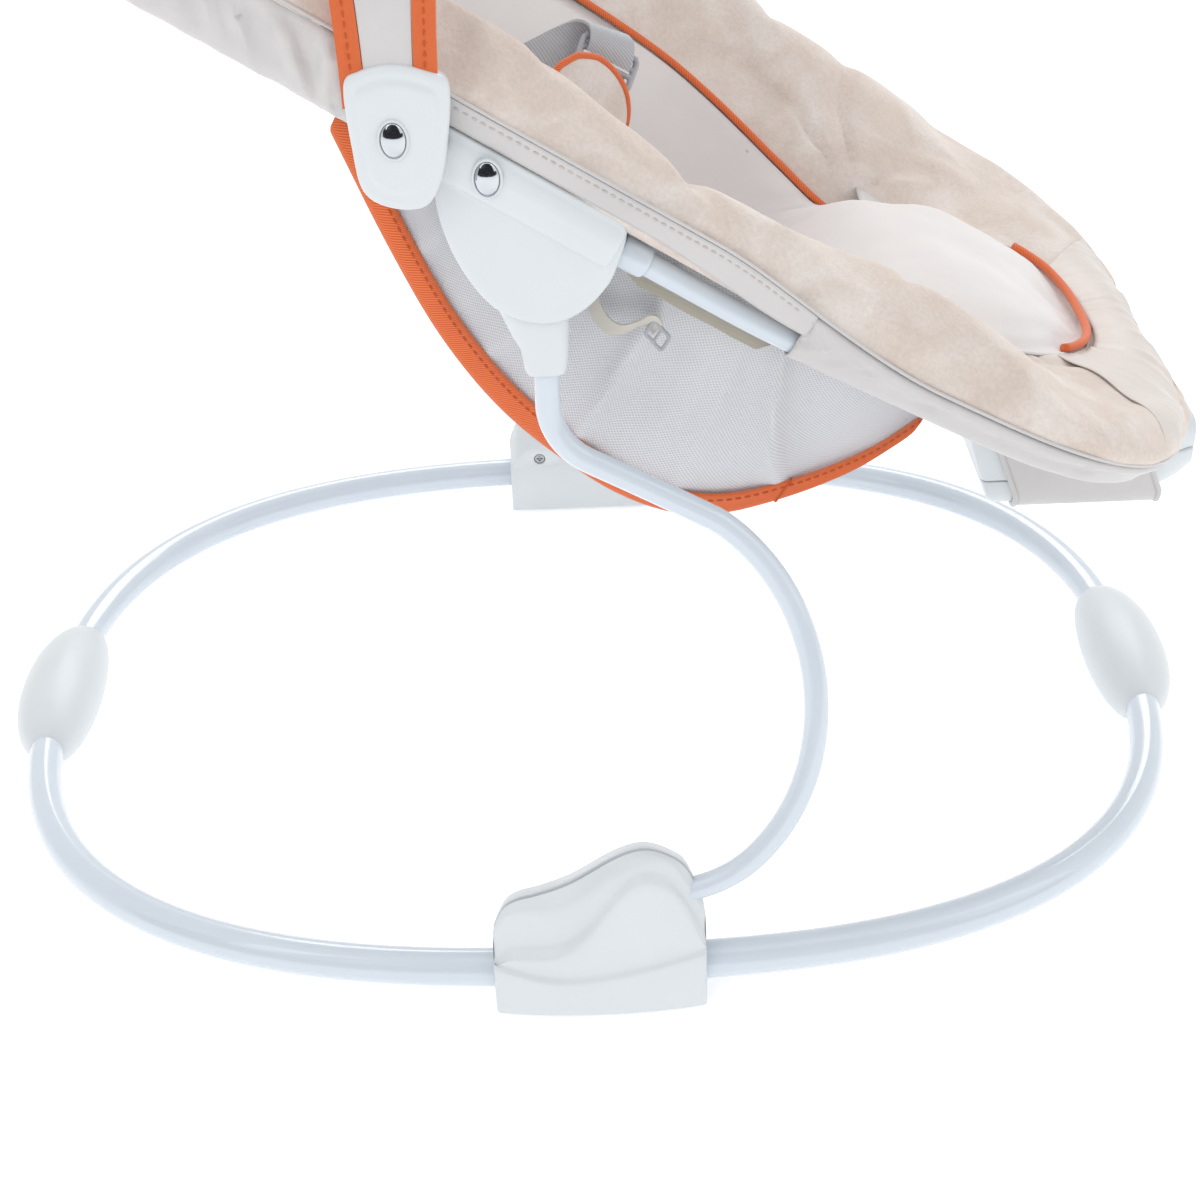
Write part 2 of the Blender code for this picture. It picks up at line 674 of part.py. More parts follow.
def hub_outline(inset=0.0):
    """D-shaped outline of a hub in frame measures: a flat top and a leaning round bottom."""
    top = HUB_TOP - inset
    left = HUB_LEFT + inset
    right = HUB_RIGHT - inset
    bottom = HUB_BOTTOM + inset
    points = [(left - 2.5 * MM, top), (right - 10 * MM, top), (right - 6 * MM, top - 2 * MM),
              (right - 3 * MM, top - 8 * MM)]
    for index in range(7):
        angle = math.radians(90 * index / 6)
        along = math.cos(angle) ** (2 / 2.4)
        down = math.sin(angle) ** (2 / 2.4)
        points.append((HUB_ARC_S + (right - HUB_ARC_S) * along, HUB_ARC_H + (bottom - HUB_ARC_H) * down))
    start = HUB_ARC_H + 6 * MM
    for index in range(1, 7):
        angle = math.radians(90 * index / 6)
        along = math.sin(angle) ** (2 / 1.5)
        down = math.cos(angle) ** (2 / 1.5)
        points.append((HUB_ARC_S + (left - HUB_ARC_S) * along, start + (bottom - start) * down))
    points.append((left - 4 * MM, top - 3 * MM))
    return points


def hub_layer(y, inset):
    """One ring of the hub's outline at y."""
    return [seat_point(s, y, h) for s, h in hub_outline(inset)]


def socket_sweep(name, start, end):
    """Cutter for the room that the leg socket needs inside the hub, from start to end in Y."""
    x, z = pivot_point()
    reach = SOCKET_RADIUS + 2 * GAP
    outline = []
    for index in range(1, 10):
        angle = math.radians(180 - 180 * index / 10)
        outline.append((x + reach * math.cos(angle), z + reach * math.sin(angle)))
    flank = ((1.4, -0.2), (1.6, -0.5), (2.7, -3.6))
    outline += [(x + across * reach, z + up * reach) for across, up in flank]
    outline += [(x - across * reach, z + up * reach) for across, up in reversed(flank)]
    return prism(name, outline, start, end)


def channel_bulge(name, side):
    """Raised band on the hub's face, round the frame tube."""
    profile = [(8.5 * MM, -7 * MM), (12 * MM, -5.5 * MM), (HUB_BAND, -2 * MM), (HUB_BAND, 5 * MM),
               (12.2 * MM, 8.5 * MM), (9 * MM, 11.5 * MM), (5 * MM, HUB_TOP - 0.6 * MM),
               (1 * MM, HUB_TOP - 0.4 * MM), (1 * MM, -7 * MM)]
    rings = []
    for s, scale in ((HUB_LEFT - 1 * MM, 0.8), (HUB_LEFT + 3 * MM, 1), (HUB_RIGHT - 11 * MM, 1),
                     (HUB_RIGHT - 7 * MM, 0.8)):
        rings.append([seat_point(s, side * (FRAME_HALF_WIDTH + out * scale), h * scale)
                      for out, h in profile])
    return loft(name, rings)


def hubs(parent):
    """Hub shells: a dished outer shell with the tube channel, and an inner cover."""
    x, z = pivot_point()
    for label, side in SIDES:
        middle = side * FRAME_HALF_WIDTH
        layers = ((GAP / 2, 0), (HUB_OUTER - 2 * MM, 0), (HUB_OUTER - 0.6 * MM, 0.8 * MM),
                  (HUB_OUTER, 2.2 * MM))
        shell = loft(label + "_hub_shell", [hub_layer(middle + side * out, inset) for out, inset in layers])
        combine(shell, channel_bulge(label + "_hub_bulge", side), "UNION")
        layers = ((-GAP / 2, 0), (2 * MM - HUB_INNER, 0), (0.6 * MM - HUB_INNER, 0.8 * MM),
                  (-HUB_INNER, 2.2 * MM))
        cover = loft(label + "_hub_cover", [hub_layer(middle + side * out, inset) for out, inset in layers])
        room = SOCKET_HALF_WIDTH + GAP
        sweep = socket_sweep(label + "_hub_room", middle - room, middle + room)
        ends = [seat_point(HUB_LEFT - 10 * MM, middle, 0), seat_point(HUB_RIGHT + 10 * MM, middle, 0)]
        channel = tube(label + "_hub_channel", ends, BACK_TUBE_RADIUS + GAP, 3)
        pin_bore = drum(label + "_hub_pin_bore", (x, z), PIVOT_RADIUS + GAP, middle - side * (HUB_INNER - 2 * MM),
                        middle + side * (HUB_OUTER - HUB_PLATE / 2), 20)
        for piece in (shell, cover):
            combine(piece, sweep)
            combine(piece, channel)
            combine(piece, pin_bore)
        finish(shell, PLASTIC, parent)
        finish(cover, PLASTIC, parent)
        pin = drum(label + "_hub_pivot", (x, z), PIVOT_RADIUS, middle - side * (HUB_INNER - 2 * MM - GAP),
                   middle + side * (HUB_OUTER - HUB_PLATE / 2 - GAP), 16)
        finish(pin, SCREW, parent)
        rivet = chrome_cap(label + "_hub_rivet", seat_point(HUB_RIVET_S, 0, HUB_RIVET_H),
                           middle + side * (HUB_BAND + GAP), side)
        finish(rivet, CHROME, parent)


def chrome_cap(name, place, base, side):
    """Domed oval cap that stands on a face at base, looking outward."""
    rings = []
    for share, rise in ((1, 0), (1, 0.3), (0.86, 0.66), (0.55, 0.92), (0.2, 1)):
        ring = []
        for index in range(16):
            angle = 2 * math.pi * index / 16
            ring.append(Vector((place.x + CAP_HALF_WIDTH * share * math.cos(angle), base + side * CAP_RISE * rise,
                                place.z + CAP_HALF_HEIGHT * share * math.sin(angle))))
        rings.append(ring)
    return loft(name, rings)


# Toy bar

def bar_pivot():
    point = seat_point(BAR_S, 0, BAR_H)
    return point.x, point.z


def bracket_outline(inset):
    """Shield-shaped bracket seen from outside, as (x, z) round the pivot."""
    corners = ((-16.5, 22), (-6, 27.5), (8, 26.5), (22, 20), (15.5, -21), (10, -28.5), (-4, -27.5),
               (-15, -19.5))
    x, z = bar_pivot()
    centre = Vector((1.5, 0))
    outline = []
    for corner in rounded(corners, 4, 2):
        away = Vector(corner) - centre
        point = centre + away * (1 - inset / away.length)
        outline.append((x + point.x * MM, z + point.y * MM))
    return outline


def brackets(bar, frame):
    """Bracket halves that clamp the strap's end, their chrome caps, and studs on the frame tube."""
    x, z = bar_pivot()
    for label, side in SIDES:
        face = side * (FRAME_HALF_WIDTH + BRACKET_FRONT)
        split = side * (FRAME_HALF_WIDTH + BRACKET_SPLIT)
        back = side * (FRAME_HALF_WIDTH + BRACKET_BACK)
        layers = ((split + side * GAP / 2, 0), (face - side * 2.4 * MM, 0), (face - side * 0.6 * MM, 1.6),
                  (face - side * 0.3 * MM, 4.6), (face, 5.4))
        rings = [[Vector((px, y, pz)) for px, pz in bracket_outline(inset)] for y, inset in layers]
        shell = loft(label + "_bracket_shell", rings)
        layers = ((split - side * GAP / 2, 0.2), (back + side * 1.2 * MM, 0.2), (back, 1.6))
        rings = [[Vector((px, y, pz)) for px, pz in bracket_outline(inset)] for y, inset in layers]
        cover = loft(label + "_bracket_cover", rings)
        half = BAR_THICKNESS / 2 + GAP
        width = BAR_END_WIDTH
        slot = [(x - width, z + BAR_ROOT - GAP), (x + width, z + BAR_ROOT - GAP), (x + width, z + 40 * MM),
                (x - width, z + 40 * MM)]
        mouth = prism(label + "_strap_mouth", slot, split - side * (half + 1 * MM), split + side * half)
        bore = drum(label + "_bracket_bore", (x, z), PIVOT_RADIUS + GAP, split - side * 10 * MM,
                    split + side * 3 * MM, 20)
        for piece in (shell, cover):
            combine(piece, mouth)
            combine(piece, bore)
        finish(shell, PLASTIC, bar)
        finish(cover, PLASTIC, bar)
        finish(chrome_cap(label + "_bracket_cap", Vector((x, 0, z)), face + side * GAP, side), CHROME, bar)
        stud = drum(label + "_bracket_pivot", (x, z), PIVOT_RADIUS,
                    side * (FRAME_HALF_WIDTH + BACK_TUBE_RADIUS + GAP), split + side * (3 * MM - GAP), 16)
        finish(stud, SCREW, frame)


def bar_places(steps):
    """Stations round the toy bar: centre point, outward direction and the strap's width there."""
    x, z = bar_pivot()
    places = []
    for index in range(steps + 1):
        angle = math.pi * index / steps
        root = z + BAR_ROOT
        y = -BAR_HALF_SPAN * math.cos(angle)
        rise = BAR_RISE * math.sin(angle)
        outward = Vector((0, -math.cos(angle) / BAR_HALF_SPAN, math.sin(angle) / BAR_RISE)).normalized()
        width = BAR_END_WIDTH + (BAR_TOP_WIDTH - BAR_END_WIDTH) * ease(math.sin(angle), 0, 1)
        places.append((Vector((x, y, root + rise)), outward, width))
    return places


def band(name, places, low, high, thickness, shift=0.0):
    """Flat band round the toy bar. Low and high give its edges in X for the strap's width there."""
    rings = []
    for centre, outward, width in places:
        left, right = low(width), high(width)
        ring = []
        for across, out in ((left, -0.5), (left, 0.5), (right, 0.5), (right, -0.5)):
            ring.append(centre + Vector((across, 0, 0)) + outward * (out * thickness + shift))
        rings.append(ring)
    return loft(name, rings)


def toy_bar(parent):
    """Arch over the seat: a springy strip in a satin sleeve with orange tape along both edges."""
    places = bar_places(22)
    inner = CORE_WIDTH / 2
    core = band("toy_bar_core", places, lambda w: -inner, lambda w: inner, CORE_THICKNESS)
    edge = BINDING_WIDTH + GAP
    cover = band("toy_bar_cover", places, lambda w: edge - w / 2, lambda w: w / 2 - edge,
                 BAR_THICKNESS - 1 * MM)
    long_places = bar_places(22)
    for index, shift in ((0, -1), (-1, -1)):
        centre, outward, width = long_places[index]
        long_places[index] = (centre + Vector((0, 0, shift * 6 * MM)), outward, width)
    room = band("toy_bar_room", long_places, lambda w: -inner - GAP, lambda w: inner + GAP,
                CORE_THICKNESS + 2 * GAP)
    combine(cover, room)
    finish(core, GREY, parent)
    finish(cover, SATIN, parent)
    finish(band("toy_bar_head_tape", places, lambda w: -w / 2, lambda w: BINDING_WIDTH - w / 2,
                BAR_THICKNESS),
           ORANGE, parent)
    finish(band("toy_bar_foot_tape", places, lambda w: w / 2 - BINDING_WIDTH, lambda w: w / 2, BAR_THICKNESS),
           ORANGE, parent)


# Soft goods

def seam_height(s):
    """Height of the outer seam of the bolster above the frame's centre line."""
    return SEAM_HEIGHT + (SEAM_HEIGHT_FOOT - SEAM_HEIGHT) * ease(s, 70 * MM, 190 * MM)


def underside(s):
    return UNDERSIDE + (UNDERSIDE_FOOT - UNDERSIDE) * ease(s, 70 * MM, 190 * MM)


def crown(s):
    """Height of the bolster's crest."""
    return BOLSTER_TOP + (BOLSTER_TOP_FOOT - BOLSTER_TOP) * ease(s, 60 * MM, 300 * MM)


def piping_height(s):
    """Height of the inner seam, which dips with the seat."""
    return follow(PIPING_LINE, s)


def piping_taper(s):
    """Share of its full width that the centre panel has at s."""
    return 1 - (1 - INNER_SEAM_WIDTH_FOOT / INNER_SEAM_WIDTH) * ease(s, 80 * MM, 200 * MM)


def side_bolster(parent):
    """Plush roll round the whole seat, fattest beside the child."""
    counts = (14, END_STEPS)
    outer = rim(FRAME_HALF_WIDTH + BOLSTER_OVERHANG, FRAME_FOOT + BOLSTER_OVERHANG,
                FRAME_HEAD - BOLSTER_OVERHANG, *counts)
    inner = rim(INNER_SEAM_WIDTH, INNER_SEAM_FOOT, INNER_SEAM_HEAD, *counts, INNER_FOOT_CURVE,
                INNER_HEAD_CURVE)
    rings = []
    for (s0, y0), (s1, y1) in zip(outer, inner):
        y1 *= piping_taper(s1)
        low, high = seam_height(s0), piping_height(s1)
        top, floor = crown(s0), underside(s0)
        profile = []
        for share, lift in ((0, 0), (0.08, 0.5), (0.24, 0.88), (0.45, 1), (0.68, 0.86), (0.88, 0.5), (1, 0)):
            base = low + (high - low) * share
            profile.append((share, base + (top - (low + (high - low) * 0.45)) * lift))
        profile += [(0.97, high - 4 * MM), (0.36, floor), (0.06, floor)]
        rings.append([seat_point(s0 + (s1 - s0) * share, y0 + (y1 - y0) * share, h) for share, h in profile])
    finish(loft("side_bolster", rings, closed=True), PLUSH, parent)


def sling_floor(s):
    """Depth of the mesh sling along the seat."""
    return follow(SLING_LINE, s)


def sling_half_width(s):
    """Half the width of the sling's floor, drawn in where it hangs low."""
    return FRAME_HALF_WIDTH - follow(SLING_DRAW, s)


def pad_floor(s):
    """Height of the pad's top along the middle of the seat."""
    return follow(PAD_LINE, s)


def sheet(name, rows, thickness, offset):
    """Cloth panel from rows of points, given its thickness by Solidify."""
    shape = bmesh.new()
    lines = [[shape.verts.new(point) for point in row] for row in rows]
    for first, second in zip(lines, lines[1:]):
        for index in range(len(first) - 1):
            shape.faces.new((first[index], first[index + 1], second[index + 1], second[index]))
    mesh = bpy.data.meshes.new(name)
    shape.to_mesh(mesh)
    shape.free()
    mesh.shade_smooth()
    obj = bpy.data.objects.new(name, mesh)
    bpy.context.collection.objects.link(obj)
    solid = obj.modifiers.new("thickness", "SOLIDIFY")
    solid.thickness = thickness
    solid.offset = offset
    solid.use_even_offset = True
    return obj


def seat_pad(parent):
    """Centre panel from seam to seam: flat on the backrest, deep in the sling, flat at the foot."""
    margin = 1.2 * MM
    rows = []
    steps = 26
    for index in range(steps + 1):
        angle = math.pi * (index + 0.5) / (steps + 1)
        reach = (INNER_SEAM_FOOT - INNER_SEAM_HEAD) / 2 * math.cos(angle)
        s = (INNER_SEAM_FOOT + INNER_SEAM_HEAD) / 2 - reach
        half = inner_half_width(s) - margin
        edge = piping_height(s) - 1 * MM
        middle = pad_floor(s)
        row = []
        for step in range(13):
            across = math.sin(math.pi * (step / 12 - 0.5))
            height = middle + (edge - middle) * abs(across) ** 5
            row.append(seat_point(s, half * across, height))
        rows.append(row)
    finish(sheet("seat_pad", rows, PAD_THICKNESS, -1), PALE, parent)


def inner_half_width(s):
    """Half width of the opening inside the bolster at s."""
    width = INNER_SEAM_WIDTH * piping_taper(s)
    if s > INNER_FOOT_CURVE:
        reach = (s - INNER_FOOT_CURVE) / (INNER_SEAM_FOOT - INNER_FOOT_CURVE)
    elif s < INNER_HEAD_CURVE:
        reach = (s - INNER_HEAD_CURVE) / (INNER_SEAM_HEAD - INNER_HEAD_CURVE)
    else:
        return width
    return width * (1 - min(reach, 1) ** FRAME_POWER) ** (1 / FRAME_POWER)


def seat_sling(parent):
    """White mesh hammock between the frame tubes, with orange tape along its lower edges."""
    steps = 16
    rows = []
    tapes = {-1: [], 1: []}
    for index in range(steps + 1):
        s = SLING_START + (SLING_END - SLING_START) * index / steps
        floor, half = sling_floor(s), sling_half_width(s)
        top = underside(s) - CLOTH
        wall = FRAME_HALF_WIDTH - HUB_INNER - CLOTH - GAP
        row = []
        for share in (0, 0.3, 0.6, 0.85):
            row.append((-wall + (wall - half) * share, top + (floor - top) * share))
        row += [(-half, floor), (-half * 0.7, floor - 2 * MM), (-half * 0.3, floor - 3 * MM)]
        row += [(-y, h) for y, h in reversed(row)]
        rows.append([seat_point(s, y, h) for y, h in row])
        for side in (-1, 1):
            lean = (wall - half) / (top - floor)
            corners = ((1.7, -6), (4, -5), (4, 5.5), (2.8, 6.5), (1.7, 5.5))
            tapes[side].append([seat_point(s, side * (half + dy * MM + max(dh, 0) * MM * lean), floor + dh * MM)
                                for dy, dh in corners])
    finish(sheet("seat_sling", rows, CLOTH, 0), MESH, parent)
    for label, side in SIDES:
        finish(loft(label + "_sling_binding", tapes[side]), ORANGE, parent)


def sleeve(name, plan, radius, top_at, parent):
    """Satin sleeve round a frame tube, drawn up outside it as far as the bolster's seam."""
    outer_radius = radius + GAP + CLOTH
    shape = bmesh.new()
    rings = []
    count = len(plan)
    for index, (s, y) in enumerate(plan):
        before = plan[max(index - 1, 0)]
        after = plan[min(index + 1, count - 1)]
        along = Vector((after[0] - before[0], after[1] - before[1])).normalized()
        outward = (along.y, -along.x)
        top = top_at(s)
        outer = [(outer_radius * math.cos(math.radians(a)), outer_radius * math.sin(math.radians(a)))
                 for a in (180, 216, 252, 288, 324, 0)]
        shoulder = max(outer_radius + 0.2 * MM, top - 7 * MM)
        outer += [(BOLSTER_OVERHANG, outer_radius * 0.8), (BOLSTER_OVERHANG, top),
                  (BOLSTER_OVERHANG - 1.6 * MM, shoulder), (BOLSTER_OVERHANG - 2.8 * MM, outer_radius),
                  (0, outer_radius), (-outer_radius * 0.8, outer_radius * 0.6)]
        inner = [((radius + GAP) / math.cos(math.radians(18)) * math.cos(math.radians(a)),
                  (radius + GAP) / math.cos(math.radians(18)) * math.sin(math.radians(a)))
                 for a in (180, 216, 252, 288, 324, 0)]
        hub = radius + GAP
        inner += [(hub, hub * 0.35), (hub * 0.9, hub * 0.62), (hub * 0.72, hub * 0.8), (hub * 0.4, hub),
                  (0, hub * 1.04), (-hub * 0.75, hub * 0.75)]
        rings.append([[seat_point(s + outward[0] * out, y + outward[1] * out, h) for out, h in profile]
                      for profile in (outer, inner)])
    outside = [[shape.verts.new(point) for point in ring] for ring, _ in rings]
    inside = [[shape.verts.new(point) for point in ring] for _, ring in rings]
    size = len(outside[0])
    for rows in (outside, inside):
        for first, second in zip(rows, rows[1:]):
            for index in range(size):
                following = (index + 1) % size
                shape.faces.new((first[index], first[following], second[following], second[index]))
    for end in (0, -1):
        for index in range(size):
            following = (index + 1) % size
            shape.faces.new((outside[end][index], outside[end][following], inside[end][following],
                             inside[end][index]))
    finish(from_bmesh(name, shape), SATIN, parent)


def sleeve_top(s):
    """Height that a sleeve is drawn up to, just under the bolster's seam."""
    return seam_height(s) - 2.4 * MM


def satin(parent):
    """Sleeves on the two ends of the frame and the panels across them."""
    head = end_curve(FRAME_HEAD_CURVE, FRAME_HEAD, FRAME_HALF_WIDTH, END_STEPS)
    start = BAR_S - 14 * MM
    back_plan = [(start, -FRAME_HALF_WIDTH)] + head + [(start, FRAME_HALF_WIDTH)]
    back_plan = [(s, -y) for s, y in back_plan]
    sleeve("frame_sleeve_back", back_plan, BACK_TUBE_RADIUS, sleeve_top, parent)
    foot = end_curve(FRAME_FOOT_CURVE, FRAME_FOOT, FRAME_HALF_WIDTH, END_STEPS)
    edge = [(130 * MM, -FRAME_HALF_WIDTH), (170 * MM, -FRAME_HALF_WIDTH)]
    foot_plan = edge + foot + [(s, -y) for s, y in reversed(edge)]
    sleeve("frame_sleeve_foot", foot_plan, SEAT_TUBE_RADIUS, sleeve_top, parent)

    back_depth = BACK_TUBE_RADIUS + 2 * GAP + CLOTH
    flat_panel("back_panel", FRAME_HEAD_CURVE, FRAME_HEAD, SLING_START - 2 * MM, back_depth, parent)
    foot_depth = SEAT_TUBE_RADIUS + 2 * GAP + CLOTH
    flat_panel("foot_panel", FRAME_FOOT_CURVE, FRAME_FOOT, SLING_END + 3 * MM, foot_depth, parent)


def flat_panel(name, curve, tip, start, depth, parent):
    """Satin stretched across one end of the frame, just under its tube."""
    steps = 10
    rows = []
    inset = 4 * MM
    last = tip - math.copysign(inset, tip)
    for index in range(steps + 1):
        s = start + (last - start) * math.sin(math.pi / 2 * index / steps)
        reach = max((s - curve) / (last - curve), 0)
        half = (FRAME_HALF_WIDTH - inset) * max(1 - reach ** FRAME_POWER, 0.02) ** (1 / FRAME_POWER)
        rows.append([seat_point(s, half * (step / 4 - 1), -depth - CLOTH / 2) for step in range(9)])
    finish(sheet(name, rows, CLOTH, 0), SATIN, parent)


def crotch_pad(parent):
    """Plush tongue that stands up from the seat between the child's legs."""
    foot, head = (72.3 * MM, -77.1 * MM), (21 * MM, 18 * MM)
    length = math.dist(foot, head)
    along = Vector((head[0] - foot[0], head[1] - foot[1])) / length
    square = Vector((-along.y, along.x))
    thick = 5 * MM
    rows = []
    for index in range(9):
        share = index / 8
        width = 36 * MM * (1 - max(share - 0.7, 0) ** 2 * 7)
        puff = thick * (0.35 + 0.65 * math.sin(math.pi * (0.08 + 0.84 * share)))
        ring = []
        for turn in range(12):
            angle = 2 * math.pi * turn / 12
            out = square * puff * math.sin(angle)
            place = Vector(foot) + along * length * share + out
            ring.append(seat_point(place.x, width * math.cos(angle), place.y))
        rows.append(ring)
    finish(loft("crotch_pad", rows), PLUSH, parent)


# Vibration unit

def unit_stations():
    """Stations from the back to the nose: bottom x, top point, half width and how much is drawn in."""
    stations = []
    steps = 9
    for index in range(steps + 1):
        share = index / steps
        bottom = UNIT_BACK + (UNIT_FRONT - UNIT_BACK) * share
        top = seat_point(UNIT_TOP_START + (UNIT_TOP_END - UNIT_TOP_START) * share, 0, -UNIT_TOP_DEPTH)
        narrowing = max(share - 0.4, 0) / 0.6
        width = UNIT_HALF_WIDTH - (UNIT_HALF_WIDTH - UNIT_NOSE_HALF_WIDTH) * narrowing ** 2.4
        stations.append((bottom, top, width))
    return stations


def unit_section(bottom, top, width, inset):
    """Leaning section of the unit with rounded corners."""
    corner = 8 * MM
    low, high = UNIT_BOTTOM + inset, top.z - inset
    half = width - inset
    ring = []
    for across, height in ((-1, 0), (1, 0), (1, 1), (-1, 1)):
        y, z = across * half, low + (high - low) * height
        toward = 1 if height == 0 else -1
        first = (y, z + toward * corner)
        second = (y - across * corner, z)
        middle = (y - across * corner * 0.29, z + toward * corner * 0.29)
        trio = [second, middle, first] if (across > 0) == (height == 0) else [first, middle, second]
        ring += trio
    lean = (top.x - bottom) / (top.z - UNIT_BOTTOM)
    return [Vector((bottom + lean * (z - UNIT_BOTTOM), y, z)) for y, z in ring]


def unit_body(name, inset):
    """Wedge that hangs under the foot end: deep at the back, rounded in front."""
    stations = unit_stations()
    bottom, top, width = stations[0]
    edge = Vector((inset, 0, 0))
    rings = []
    if inset == 0:
        second = seat_point(UNIT_TOP_START + 3 * MM, 0, -UNIT_TOP_DEPTH)
        rings.append(unit_section(bottom, top, width, 3 * MM))
        rings.append(unit_section(bottom + 3 * MM, second, width, 0))
    else:
        rings.append([point + edge for point in unit_section(bottom, top, width, inset)])
    rings += [unit_section(*station, inset) for station in stations[1:]]
    bottom, top, width = stations[-1]
    nose = Vector((UNIT_NOSE - inset, 0, top.z - 3 * MM - inset))
    rings.append(unit_section(UNIT_NOSE - 1.5 * MM - inset, nose, width - 4 * MM, inset + 2 * MM))
    rings.append(unit_section(UNIT_NOSE - inset, nose, width - 8 * MM, inset + 4 * MM))
    return loft(name, rings)


def block(name, low, high):
    """Box between two corners."""
    outline = [(low[0], low[1]), (high[0], low[1]), (high[0], high[1]), (low[0], high[1])]
    return plate(name, outline, low[2], high[2])


